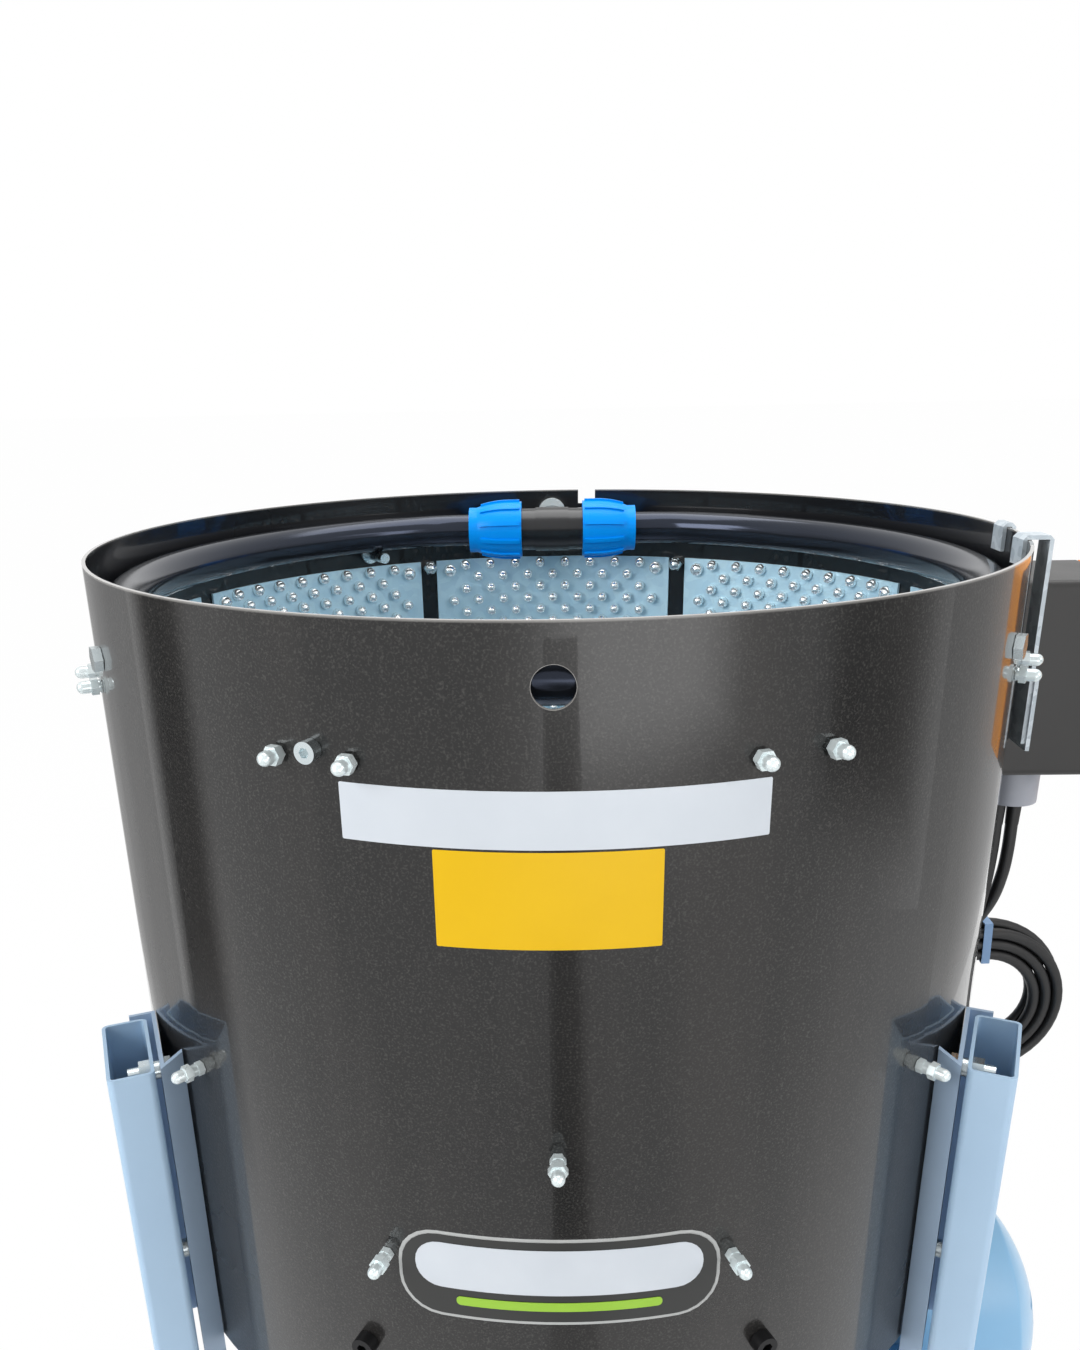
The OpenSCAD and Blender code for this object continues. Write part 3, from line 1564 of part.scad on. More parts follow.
// Least gap of the coil to itself, between points over half a turn apart
coil_gaps = [for (i = [0 : len(coil_points) - 1], j = [i + coil_rings / 2 : len(coil_points) - 1])
  norm(coil_points[i] - coil_points[j])];
echo(coil_least_gap = min(coil_gaps) - cable_d);
function path_length(p) = norm([for (i = [1 : len(p) - 1]) 1]) == 0 ? 0 :
  [for (i = [1 : len(p) - 1]) norm(p[i] - p[i - 1])] * [for (i = [1 : len(p) - 1]) 1];
echo(supply_length = path_length(smooth(supply_route, route_steps)) + path_length(coil_points)
  + path_length(smooth(tail_route, route_steps)), lead_length = path_length(smooth(lead_route, route_steps)));

module motor_cable() {
  color("#1a1a1b")
    tube(smooth(lead_route, route_steps), cable_r, cord_sides, down, [-1, 0, 0]);
}

module supply_cord() {
  color("#1a1a1b") {
    tube(smooth(supply_route, route_steps), cable_r, cord_sides, down, down);
    tube(smooth(tail_route, route_steps), cable_r, cord_sides, down, down);
  }
}

module supply_coil() {
  color("#1a1a1b")
    tube(coil_points, cable_r, coil_sides, down, down);
}

module supply_plug() {
  p = tail_route[len(tail_route) - 1];
  color("#1a1a1b")
    translate(p)
      rotate([half_turn, 0, 0]) {
        cylinder(h = plug_neck_l, r1 = cable_r + over, r2 = plug_r * plug_neck_share);
        translate([0, 0, plug_neck_l])
          cylinder(h = plug_l - plug_neck_l, r = plug_r);
        for (s = [-1, 1])
          translate([s * plug_pin_gap / 2, 0, plug_l])
            cylinder(h = plug_pin_l, r = plug_pin_r);
      }
}

// Flat tie round the turns of the coil
module cable_tie() {
  turn = (tie_angle + half_turn) / full_turn;
  low = coil_radius(coil_half - 1 + turn) - cable_r - tie_room;
  high = coil_radius(coil_turns - 1 + turn) + cable_r + tie_room;
  half = coil_layer_y + cable_r * cos(half_turn / coil_sides) + tie_room;
  color("#7fa3cc")
    translate([coil_x, coil_y, coil_z])
      rotate([0, -tie_angle, 0])
        translate([0, 0, -tie_w / 2])
          linear_extrude(tie_w)
            difference() {
              translate([low - tie_t, -half - tie_t])
                square([high - low + 2 * tie_t, 2 * half + 2 * tie_t]);
              translate([low, -half])
                square([high - low, 2 * half]);
            }
}

// Where the handle's posts start, inside the curved plate
handle_y = sqrt(pow(gate_in, 2) - pow(handle_w / 2 - handle_r, 2)) + over;

// Curved gate with a bar handle
module discharge_gate() {
  color("#2b2a29")
    union() {
      strip(gate_in, gate_out, half_turn - gate_angle, half_turn + gate_angle, gate_base, gate_top);
      for (s = [-1, 1])
        translate([s * handle_w / 2, handle_y, (gate_base + gate_top) / 2])
          rotate([-quarter_turn, 0, 0])
            cylinder(h = handle_reach, r = handle_r);
      rod(-handle_w / 2 - handle_r, handle_y + handle_reach, (gate_base + gate_top) / 2, handle_r,
        handle_w + 2 * handle_r);
    }
}

// Guides beside the gate, its stop, and the chute below
module gate_guide() {
  foot0 = gate_angle + guide_side_room;
  foot1 = foot0 + guide_foot_angle;
  lip = gate_out + gate_room;
  color("#2b2a29")
    difference() {
      union() {
        for (s = [0, 1])
          mirror([s, 0, 0]) {
            strip(drum_r + seat_room, lip, half_turn - foot1, half_turn - foot0, gate_base - stop_h, gate_base + guide_h);
            strip(lip, lip + guide_lip_t, half_turn - foot1, half_turn - gate_angle + guide_lip_angle,
              gate_base - stop_h, gate_base + guide_h);
          }
        strip(drum_r + seat_room, lip, half_turn - foot1, half_turn + foot1, gate_base - stop_h - chute_flange_h,
          gate_base - seat_room);
        difference() {
          chute_trough();
          cylinder(h = rim_z, r = drum_r + seat_room + over);
          translate([0, 0, gate_base - stop_h])
            cylinder(h = rim_z, r = chute_clear_r);
        }
      }
      guide_screw_holes(drum_r, lip + guide_lip_t + over);
    }
}

// Sloping trough with upright sides
module chute_trough() {
  top = gate_base - stop_h;
  start = drum_r - 2 * handle_reach;
  run = chute_reach - start;
  side = [[start, top], [chute_reach, top - chute_fall], [chute_reach, top - chute_fall + chute_side_h],
    [start, top + chute_side_h]];
  floor = [[start, top - chute_t], [chute_reach, top - chute_fall - chute_t], [chute_reach, top - chute_fall],
    [start, top]];
  rotate([quarter_turn, 0, quarter_turn]) {
    translate([0, 0, -chute_half])
      linear_extrude(2 * chute_half)
        polygon(floor);
    for (x = [-chute_half, chute_half - chute_t])
      translate([0, 0, x])
        linear_extrude(chute_t)
          polygon(side);
  }
}

drum();
liner_panel(0);  // liner_panel_1
liner_panel(1);  // liner_panel_2
liner_panel(2);  // liner_panel_3
liner_panel(3);  // liner_panel_4
liner_panel(4);  // liner_panel_5
liner_panel(5);  // liner_panel_6
liner_panel(6);  // liner_panel_7
liner_panel(7);  // liner_panel_8
panel_bolts();
panel_cap_nuts();
seam_bolts();
pipe_pegs();
water_ring();
tee_body();
tee_nuts();
inlet_nipple();
inlet_locknut();
valve_body();
valve_lever();
leg(true, false);  // leg_front_left
leg(true, true);  // leg_front_right
leg(false, false);  // leg_rear_left
leg(false, true);  // leg_rear_right
leg_brackets();
leg_bolts();
side_braces();
cross_braces();
floor_pan();
floor_bolts();
waste_spout();
bearing_housing();
housing_bolts();
bearings();
drive_shaft();
rotor_disc();
rotor_ribs();
hub_cap();
gearbox_housing();
gearbox_cover();
worm_wheel();
worm_shaft();
motor_stator();
motor_shields();
motor_fan();
fan_cowl();
terminal_box();
control_bracket();
control_base();
control_cover();
start_button();
stop_button();
control_gland();
motor_cable();
supply_cord();
supply_coil();
supply_plug();
cable_tie();
discharge_gate();
gate_guide();
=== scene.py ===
# %% [markdown]
# # Dressing a walnut huller
# The machine is an upright steel drum on four legs. Walnuts go in at the top, a disc spins under
# them, and studded panels rub their green husks off while a ring of pipe sprays water.
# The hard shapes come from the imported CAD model, which is loaded here as a fixed frame. This
# lesson adds what CAD is poor at: studs by the thousand, cords, stickers, and every finish.

# %% Load the frame
import json
import math

import bmesh
import bpy
from mathutils import Matrix, Vector

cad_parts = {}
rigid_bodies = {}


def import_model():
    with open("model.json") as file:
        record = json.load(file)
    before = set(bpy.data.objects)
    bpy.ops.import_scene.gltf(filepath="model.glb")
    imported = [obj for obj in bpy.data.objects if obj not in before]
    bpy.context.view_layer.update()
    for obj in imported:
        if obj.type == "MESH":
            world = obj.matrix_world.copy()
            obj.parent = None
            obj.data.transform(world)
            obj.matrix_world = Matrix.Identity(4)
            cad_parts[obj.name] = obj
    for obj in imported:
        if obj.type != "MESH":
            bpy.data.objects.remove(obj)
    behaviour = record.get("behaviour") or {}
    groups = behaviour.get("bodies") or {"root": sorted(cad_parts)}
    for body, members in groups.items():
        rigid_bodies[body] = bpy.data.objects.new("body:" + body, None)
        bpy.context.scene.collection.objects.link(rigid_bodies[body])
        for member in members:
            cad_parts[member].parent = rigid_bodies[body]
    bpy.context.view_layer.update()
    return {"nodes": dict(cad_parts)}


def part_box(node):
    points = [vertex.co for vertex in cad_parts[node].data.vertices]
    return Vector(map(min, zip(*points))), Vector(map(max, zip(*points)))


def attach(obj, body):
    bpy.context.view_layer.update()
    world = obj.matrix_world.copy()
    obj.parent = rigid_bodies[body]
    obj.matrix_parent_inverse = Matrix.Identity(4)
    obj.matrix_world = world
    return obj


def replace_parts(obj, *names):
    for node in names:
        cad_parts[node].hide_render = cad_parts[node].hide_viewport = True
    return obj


for leftover in list(bpy.data.objects):
    bpy.data.objects.remove(leftover)
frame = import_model()
nodes = frame["nodes"]
scene = bpy.context.scene
scene.view_settings.view_transform = "Standard"

# %% [markdown]
# ## The camera
# The photograph was taken from in front of the drum, a little above its rim, looking down. The
# picture was cropped afterwards, so its optical centre isn't its middle. A lens shift puts the
# centre back without tilting the camera, and that keeps the drum's sides from leaning.

# %% Camera
PHOTO_WIDTH, PHOTO_HEIGHT = 1080, 1350
FOCAL_PIXELS = 1154.6
CENTRE_PIXEL = (521.9, 830.1)
SENSOR_MM = 36.0
EYE = Vector((0.0, -0.9312, 1.116))
PITCH, YAW, ROLL = (math.radians(a) for a in (21.57, -1.76, 1.18))

ahead = Vector((math.sin(YAW) * math.cos(PITCH), math.cos(YAW) * math.cos(PITCH), -math.sin(PITCH)))
level_right = Vector((math.cos(YAW), -math.sin(YAW), 0.0))
level_down = ahead.cross(level_right)
right = math.cos(ROLL) * level_right + math.sin(ROLL) * level_down
down = math.cos(ROLL) * level_down - math.sin(ROLL) * level_right
lens = bpy.data.cameras.new("camera")
lens.sensor_width = SENSOR_MM
lens.lens = FOCAL_PIXELS / PHOTO_HEIGHT * SENSOR_MM
lens.shift_x = (PHOTO_WIDTH / 2 - CENTRE_PIXEL[0]) / PHOTO_HEIGHT
lens.shift_y = (CENTRE_PIXEL[1] - PHOTO_HEIGHT / 2) / PHOTO_HEIGHT
lens.clip_start = 0.01
camera = bpy.data.objects.new("camera", lens)
scene.collection.objects.link(camera)
camera.matrix_world = Matrix((
    (right.x, -down.x, -ahead.x, EYE.x),
    (right.y, -down.y, -ahead.y, EYE.y),
    (right.z, -down.z, -ahead.z, EYE.z),
    (0.0, 0.0, 0.0, 1.0),
))
scene.camera = camera
print("lens:", round(lens.lens, 2), "mm, shift:", round(lens.shift_x, 4), round(lens.shift_y, 4))

# %% [markdown]
# ## Small helpers for node trees
# Colours are written as the hex codes that a paint chart gives. Blender works in linear light, so
# one function converts them. Another adds a node, sets its options and links or fills its inputs,
# and it serves shader trees and geometry trees alike. A third turns a size in millimetres into the
# scale that a texture wants.

# %% Helpers for nodes
def linear(code):
    """An sRGB hex colour as linear red, green, blue and alpha."""
    shares = [int(code[i:i + 2], 16) / 255 for i in (1, 3, 5)]
    return [c / 12.92 if c <= 0.04045 else ((c + 0.055) / 1.055) ** 2.4 for c in shares] + [1.0]


def add(tree, kind, inputs=None, **settings):
    """Adds one node. An input that is a socket is linked, and any other value is set."""
    node = tree.nodes.new(kind)
    for name, value in settings.items():
        setattr(node, name, value)
    for key, value in (inputs or {}).items():
        if isinstance(value, bpy.types.NodeSocket):
            tree.links.new(value, node.inputs[key])
        else:
            node.inputs[key].default_value = value
    return node


def per_mm(size):
    """The texture scale that gives features of a size in millimetres."""
    return 1000.0 / size


print("helpers ready; mid grey is", round(linear("#808080")[0], 3))

# %% [markdown]
# ## A family of finishes
# Most finishes here share three traits: the colour drifts slowly over the surface, the gloss drifts
# with it, and a fine grain catches the light. One function builds that, with the drift and the grain
# given in millimetres. What is the same all over goes straight onto the shader's own sockets, so an
# exporter can read it.

# %% The shared finish
def finish(name, colours, roughness, drift_mm, grain_mm, grain_depth_mm, sockets=None):
    """A material whose colour and gloss drift between two values over a fine grain."""
    material = bpy.data.materials.new(name)
    material.use_nodes = True
    tree = material.node_tree
    shader = tree.nodes["Principled BSDF"]
    place = add(tree, "ShaderNodeTexCoord").outputs["Object"]
    drift = add(tree, "ShaderNodeTexNoise", {"Vector": place, "Scale": per_mm(drift_mm), "Detail": 4.0})
    colour = add(tree, "ShaderNodeMix", {0: drift.outputs[0], 6: linear(colours[0]), 7: linear(colours[1])},
                 data_type="RGBA")
    gloss = add(tree, "ShaderNodeMapRange", {0: drift.outputs[0], 3: roughness[0], 4: roughness[1]})
    grain = add(tree, "ShaderNodeTexNoise", {"Vector": place, "Scale": per_mm(grain_mm), "Detail": 2.0})
    bump = add(tree, "ShaderNodeBump", {"Height": grain.outputs[0], "Distance": grain_depth_mm / 1000})
    tree.links.new(colour.outputs[2], shader.inputs["Base Color"])
    tree.links.new(gloss.outputs[0], shader.inputs["Roughness"])
    tree.links.new(bump.outputs[0], shader.inputs["Normal"])
    for socket, value in (sockets or {}).items():
        shader.inputs[socket].default_value = value
    return material


def dress(material, *names):
    """Gives CAD nodes a finish in place of their plain colour."""
    for node_name in names:
        nodes[node_name].data.materials.clear()
        nodes[node_name].data.materials.append(material)


print("finish and dress ready")

# %% [markdown]
# ## The supply cord
# A black rubber cord leaves the box through its gland, hangs down, and is put away in a hanging
# coil with a tie round its turns. Its plug hangs below. A cord is a curve with a round bevel: the
# curve's own line is the cord's centre line, so its length can be measured. The free stretches are
# listed points, joined by a smooth spline, and the turns of the coil come from a formula.

# %% Cord paths
CORD_DIAMETER = 0.011
SLEEVE_END = Vector((0.405, 0.050, 0.730))
LEAD_END = Vector((0.300, 0.045, 0.302))
SUPPLY_STEPS = [(7, 0, 0), (7, 0, -25), (6, 2, -50), (2, 7, -78), (-7, 16, -105), (-21, 28, -130),
                (-37, 40, -153), (-51, 49.5, -178), (-58.5, 53.5, -200)]
TAIL_STEPS = [(-60, 66, -235), (-59, 67, -265), (-57, 68, -295), (-56, 68, -330)]
LEAD_STEPS = [(-7, 0, 0), (-7, 0, -25), (-9, -1, -55), (-13, -2, -85), (-20, -3, -120), (-28, -2, -160),
              (-35, 0, -200), (-39, 3, -240)]
LEAD_LOW_STEPS = [(66, 11, 148), (69, 12, 113), (71, 9, 78), (66, 5, 48), (52, 2, 23), (30, 0, 5), (0, 0, 0)]
COIL_MIDDLE = SLEEVE_END + Vector((0.023, 0.060, -0.212))
COIL_RADIUS, COIL_PITCH, COIL_TURNS, COIL_CLIMB = 0.083, 0.0116, 6, 0.5
COIL_POINTS = 48
ROUTE_STEPS = 8
CORD_ROUNDNESS = 5


def steps_from(origin, steps):
    """Points in metres, from steps in millimetres."""
    return [origin + Vector(step) / 1000 for step in steps]


def smooth_route(points):
    """A spline through every point, with several short steps to a span."""
    last = len(points) - 1
    line = []
    for i in range(last):
        a, b, c, d = (points[min(max(k, 0), last)] for k in (i - 1, i, i + 1, i + 2))
        for step in range(ROUTE_STEPS):
            t = step / ROUTE_STEPS
            line.append(0.5 * (2 * b + (c - a) * t + (2 * a - 5 * b + 4 * c - d) * t ** 2
                               + (3 * b - a - 3 * c + d) * t ** 3))
    return line + [points[last]]


def coil_point(turn):
    """In from the outer turn, up a layer in the half turn at the middle, and out again."""
    half = COIL_TURNS / 2
    radius = COIL_RADIUS - COIL_PITCH * (half - abs(turn - half))
    layer = min(max((turn - half + COIL_CLIMB / 2) / COIL_CLIMB, 0), 1)
    angle = turn * math.tau
    away = Vector((-radius * math.cos(angle), COIL_PITCH * (layer - 0.5), -radius * math.sin(angle)))
    return COIL_MIDDLE + away


def path_length(points):
    """The length of a line of points."""
    return sum((b - a).length for a, b in zip(points, points[1:]))


coil = [coil_point(i / COIL_POINTS) for i in range(COIL_TURNS * COIL_POINTS + 1)]
supply_line = (smooth_route(steps_from(SLEEVE_END, SUPPLY_STEPS) + [coil[0]])[:-1] + coil
               + smooth_route([coil[-1]] + steps_from(SLEEVE_END, TAIL_STEPS))[1:])
lead_line = smooth_route(steps_from(SLEEVE_END, LEAD_STEPS) + steps_from(LEAD_END, LEAD_LOW_STEPS))
print("supply cord:", round(path_length(supply_line), 3), "m")
print("motor lead:", round(path_length(lead_line), 3), "m")

# %% [markdown]
# Rubber cord is extruded and dusted with talc, so it is black with a soft, slightly grey sheen. The
# grain is drawn coarser than real so that it shows.

# %% Cords
rubber = finish("extruded_black_rubber", ("#121213", "#1D1D1F"), (0.38, 0.52), 40, 1.2, 0.03)


def make_cord(name, points, material):
    """A curve of one open spline, as thick as the cord."""
    curve = bpy.data.curves.new(name, "CURVE")
    curve.dimensions = "3D"
    curve.bevel_depth = CORD_DIAMETER / 2
    curve.bevel_resolution = CORD_ROUNDNESS
    curve.use_fill_caps = True
    spline = curve.splines.new("POLY")
    spline.points.add(len(points) - 1)
    for point, place in zip(spline.points, points):
        point.co = (*place, 1.0)
    curve.materials.append(material)
    cord = bpy.data.objects.new(name, curve)
    scene.collection.objects.link(cord)
    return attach(cord, "frame")


supply_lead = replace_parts(make_cord("supply_lead", supply_line, rubber), "supply_cord", "supply_coil")
motor_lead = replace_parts(make_cord("motor_lead", lead_line, rubber), "motor_cable")
dress(rubber, "supply_plug")
print("cords:", supply_lead.name, motor_lead.name)

# %% [markdown]
# ## The drum's paint
# The drum is rolled sheet with a black textured coat. Distance from the axis tells its inside from its
# outside, height tells the rim, and distance from the spare hole in front tells that hole's edge. So one
# material serves the whole sheet.

# %% Where on the drum
DRUM_RADIUS = 0.350
DRUM_WALL = 0.0025
WALL_INNER, WALL_OUTER = DRUM_RADIUS - DRUM_WALL * 0.6, DRUM_RADIUS - DRUM_WALL * 0.4
RIM_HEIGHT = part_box("drum")[1].z
RIM_WEAR_LOW, RIM_WEAR_HIGH = RIM_HEIGHT - 0.0016, RIM_HEIGHT - 0.0004
PIPE_DROP = 0.035
PIPE_HEIGHT = RIM_HEIGHT - PIPE_DROP
HOLE_WEAR = 0.0123
CLEAR_COAT = {"Coat Weight": 1.0, "Coat Roughness": 0.03, "Coat IOR": 1.3, "Specular IOR Level": 0.24}

drum_paint = finish("textured_black_coat", ("#171717", "#201F1F"), (0.24, 0.32), 120, 2.0, 0.10,
                    CLEAR_COAT)
paint = drum_paint.node_tree
spot = add(paint, "ShaderNodeTexCoord").outputs["Object"]
at = add(paint, "ShaderNodeSeparateXYZ", {0: spot}).outputs
level_spot = add(paint, "ShaderNodeCombineXYZ", {0: at[0], 1: at[1]}).outputs[0]
from_axis = add(paint, "ShaderNodeVectorMath", {0: level_spot}, operation="LENGTH").outputs["Value"]
outside = add(paint, "ShaderNodeMapRange", {0: from_axis, 1: WALL_INNER, 2: WALL_OUTER}).outputs[0]
worn_rim = add(paint, "ShaderNodeMapRange", {0: at[2], 1: RIM_WEAR_LOW, 2: RIM_WEAR_HIGH}).outputs[0]
over_hole = add(paint, "ShaderNodeMath", {0: at[2], 1: PIPE_HEIGHT}, operation="SUBTRACT").outputs[0]
hole_spot = add(paint, "ShaderNodeCombineXYZ", {0: at[0], 1: over_hole}).outputs[0]
from_hole = add(paint, "ShaderNodeVectorMath", {0: hole_spot}, operation="LENGTH").outputs["Value"]
bare_edge = add(paint, "ShaderNodeMath", {0: from_hole, 1: HOLE_WEAR}, operation="LESS_THAN").outputs[0]
worn = add(paint, "ShaderNodeMath", {0: worn_rim, 1: bare_edge}, operation="MAXIMUM").outputs[0]
print("drum rim at", round(RIM_HEIGHT, 3), "m")

# %% [markdown]
# Outside, the coat has a fine pebble that breaks the reflections up, faint upright streaks where it ran,
# and pale specks, which are painted glints of that pebble. Inside it is smoother and darker. A clear coat
# over it mirrors what stands close by, most of all at the drum's edges. At the rim and round the spare hole
# it is worn to a pale line.

# %% Drum paint
STREAK_MM, STREAK_LOW, STREAK_HIGH = 60, 0.45, 0.75
STREAK_SCALE = (1.0, 1.0, 0.12)
PAINTED_GLINT_MM, PAINTED_GLINT_LOW, PAINTED_GLINT_HIGH = 1.4, 0.50, 0.80
PEBBLE_INSIDE, PEBBLE_OUTSIDE = 0.15, 1.0

paint_shader = paint.nodes["Principled BSDF"]
coat = paint_shader.inputs["Base Color"].links[0].from_socket
tall = add(paint, "ShaderNodeMapping", {"Vector": spot, "Scale": STREAK_SCALE}).outputs[0]
streaks = add(paint, "ShaderNodeTexNoise", {"Vector": tall, "Scale": per_mm(STREAK_MM), "Detail": 3.0})
streak = add(paint, "ShaderNodeMapRange", {0: streaks.outputs[0], 1: STREAK_LOW, 2: STREAK_HIGH}).outputs[0]
streaked = add(paint, "ShaderNodeMix", {0: streak, 6: coat, 7: linear("#2A2827")}, data_type="RGBA")
# Painted glints: pale specks mixed into the outside coat stand in for light caught by its pebble.
painted_glints = add(paint, "ShaderNodeTexNoise", {"Vector": spot, "Scale": per_mm(PAINTED_GLINT_MM), "Detail": 1.0})
painted_glint = add(paint, "ShaderNodeMapRange", {0: painted_glints.outputs[0], 1: PAINTED_GLINT_LOW, 2: PAINTED_GLINT_HIGH}).outputs[0]
glint_painted = add(paint, "ShaderNodeMix", {0: painted_glint, 6: streaked.outputs[2], 7: linear("#3F3E3C")},
              data_type="RGBA")
two_sides = add(paint, "ShaderNodeMix", {0: outside, 6: linear("#0E0F12"), 7: glint_painted.outputs[2]},
                data_type="RGBA")
rimmed = add(paint, "ShaderNodeMix", {0: worn, 6: two_sides.outputs[2], 7: linear("#8A8885")},
             data_type="RGBA")
paint.links.new(rimmed.outputs[2], paint_shader.inputs["Base Color"])
pebble = next(n for n in paint.nodes if n.type == "BUMP")
strength = add(paint, "ShaderNodeMapRange", {0: outside, 3: PEBBLE_INSIDE, 4: PEBBLE_OUTSIDE}).outputs[0]
paint.links.new(strength, pebble.inputs["Strength"])
dress(drum_paint, "drum", "discharge_gate", "gate_guide")
print("drum paint nodes:", len(paint.nodes))

# %% [markdown]
# ## Finishes for the CAD parts
# Each group of parts gets the finish of its real material: powder coat on the legs, enamel on the
# motor, zinc plate on the fasteners, moulded plastic on the fittings and the box. Powder coat is even and
# satin, enamel is shinier, cast iron shows a coarse skin under its enamel, and the pan's coat is dull.

# %% Painted and cast parts
leg_paint = finish("pale_blue_powder_coat", ("#A6C3DE", "#B2CEE6"), (0.34, 0.42), 90, 1.6, 0.05)
# Painted shade: the brackets get a copy of the legs' powder coat, a touch darker and greyer, for the shadow
# they stand in.
shaded_bracket_paint = finish("pale_blue_powder_coat_painted_shade", ("#A3BAD4", "#B0C6DD"), (0.38, 0.48), 60, 1.6,
                       0.05)
motor_enamel = finish("sky_blue_enamel", ("#7FB2D8", "#8CBDE0"), (0.24, 0.34), 70, 3.0, 0.06,
                      {"Coat Weight": 0.3})
cast_enamel = finish("grey_enamel_on_cast_iron", ("#717C87", "#86919C"), (0.4, 0.55), 50, 2.2, 0.16)
pan_coat = finish("dark_chassis_coat", ("#262626", "#343332"), (0.4, 0.55), 80, 1.8, 0.06)
dress(leg_paint, "leg_front_left", "leg_front_right", "leg_rear_left", "leg_rear_right", "side_braces",
      "cross_braces")
dress(shaded_bracket_paint, "leg_brackets")
dress(motor_enamel, "motor_stator", "motor_shields", "fan_cowl", "terminal_box")
dress(cast_enamel, "bearing_housing", "gearbox_housing", "gearbox_cover")
dress(pan_coat, "floor_pan", "waste_spout")
print("painted parts dressed")

# %% [markdown]
# Zinc plate is bright and slightly blue. On the drum's own fasteners it is whiter and less metallic, a
# painted brightness that stands in for the sky they mirror. Black oxide is nearly matt, turned steel is
# greyer than zinc, brass is yellow and bronze redder, and the disc's plate is scuffed and wet. Metals keep
# the default index of refraction.

# %% Metal parts
METAL = {"Metallic": 1.0}
zinc = finish("bright_zinc_plate", ("#C3CFD3", "#DCE4E6"), (0.18, 0.34), 14, 0.8, 0.02, METAL)
# Painted brightness: a whiter, less metallic zinc stands in for the sky that the drum's fasteners mirror.
pale_zinc = finish("zinc_plate_painted_bright", ("#D6E4E6", "#ECF3F4"), (0.2, 0.32), 14, 0.8, 0.02,
                   {"Metallic": 0.45})
black_oxide = finish("black_oxide_steel", ("#151516", "#232325"), (0.35, 0.5), 12, 0.8, 0.02,
                     {"Metallic": 0.6})
turned_steel = finish("turned_steel", ("#9AA1A8", "#B5BBC1"), (0.25, 0.38), 30, 0.9, 0.02, METAL)
disc_steel = finish("wet_worn_steel_plate", ("#7E8893", "#A5AFB9"), (0.3, 0.5), 60, 1.2, 0.04, METAL)
brass = finish("plated_brass", ("#B59B57", "#CBB878"), (0.22, 0.36), 22, 0.9, 0.02, METAL)
bronze = finish("cast_bronze", ("#9C7B3E", "#B4924F"), (0.3, 0.45), 18, 1.2, 0.04, METAL)
dress(zinc, "seam_bolts", "pipe_pegs", "leg_bolts", "housing_bolts")
dress(pale_zinc, "panel_bolts", "panel_cap_nuts", "inlet_nipple")
dress(black_oxide, "floor_bolts")
dress(turned_steel, "drive_shaft", "bearings", "worm_shaft")
dress(disc_steel, "rotor_disc", "rotor_ribs", "hub_cap")
dress(brass, "inlet_locknut", "valve_body")
dress(bronze, "worm_wheel")
print("metal parts dressed")

# %% [markdown]
# Moulded plastics differ by gloss: the fittings are shiny polypropylene, the box is matt ABS with a
# fine spark-eroded grain, the lever's grip is dipped vinyl, and the tie and the buttons are nylon.

# %% Plastic parts
black_fitting = finish("black_polypropylene", ("#101113", "#191A1D"), (0.2, 0.3), 40, 1.5, 0.02)
blue_fitting = finish("blue_polypropylene", ("#008CEB", "#0098F6"), (0.24, 0.34), 30, 1.5, 0.03,
                      {"Specular IOR Level": 0.15})
red_grip = finish("red_vinyl_dip", ("#B5271F", "#C8352B"), (0.3, 0.42), 20, 1.4, 0.03)
orange_lid = finish("orange_abs", ("#F5981C", "#FDA42A"), (0.32, 0.42), 40, 0.9, 0.04)
charcoal_base = finish("charcoal_abs", ("#201F1F", "#2A2928"), (0.36, 0.48), 40, 0.9, 0.05)
green_cap = finish("green_nylon", ("#23863E", "#2F9A4A"), (0.28, 0.38), 16, 1.0, 0.02)
red_cap = finish("red_nylon", ("#B71F18", "#CC2C23"), (0.28, 0.38), 16, 1.0, 0.02)
grey_gland = finish("grey_nylon", ("#9DA1AC", "#B1B5BF"), (0.34, 0.46), 16, 1.0, 0.03)
blue_tie = finish("pale_blue_nylon", ("#769AC4", "#86A9D2"), (0.36, 0.48), 10, 0.8, 0.02)
fan_plastic = finish("black_glass_filled_nylon", ("#1C1C1E", "#29292B"), (0.42, 0.55), 20, 1.0, 0.04)
dress(black_fitting, "tee_body")
dress(blue_fitting, "tee_nuts")
dress(red_grip, "valve_lever")
dress(charcoal_base, "control_base")
dress(orange_lid, "control_cover")
dress(green_cap, "start_button")
dress(red_cap, "stop_button")
dress(grey_gland, "control_gland")
dress(blue_tie, "cable_tie")
dress(fan_plastic, "motor_fan")
print("plastic parts dressed")

# %% [markdown]
# The gland is one solid in two colours: a grey body, and below a certain height a black rubber sleeve.

# %% The gland's sleeve
GLAND_FOOT = 0.755

gland_tree = grey_gland.node_tree
gland_shader = gland_tree.nodes["Principled BSDF"]
gland_grey = gland_shader.inputs["Base Color"].links[0].from_socket
gland_spot = add(gland_tree, "ShaderNodeTexCoord").outputs["Object"]
gland_at = add(gland_tree, "ShaderNodeSeparateXYZ", {0: gland_spot}).outputs
in_sleeve = add(gland_tree, "ShaderNodeMath", {0: gland_at[2], 1: GLAND_FOOT}, operation="LESS_THAN")
two_tone = add(gland_tree, "ShaderNodeMix", {0: in_sleeve.outputs[0], 6: gland_grey, 7: linear("#161617")},
               data_type="RGBA")
gland_tree.links.new(two_tone.outputs[2], gland_shader.inputs["Base Color"])
print("gland nodes:", len(gland_tree.nodes))

# %% [markdown]
# ## Softer edges on pressed and turned parts
# A CAD mesh is loose flat triangles, so every edge on it looks hard. A copy with its corners merged can
# share one normal across the soft edges of a pressing. The bend in the fan cowl then looks rolled, and the
# domes of the cap nuts look round.

# %% Smooth copies
MERGE_GAP = 1e-6
SOFT_PARTS = {"fan_cowl": ("motor_paint", 60), "tee_nuts": ("pp_blue", 35), "tee_body": ("pp_black", 35),
              "panel_cap_nuts": ("zinc_fastener", 35), "inlet_nipple": ("zinc_fastener", 35)}


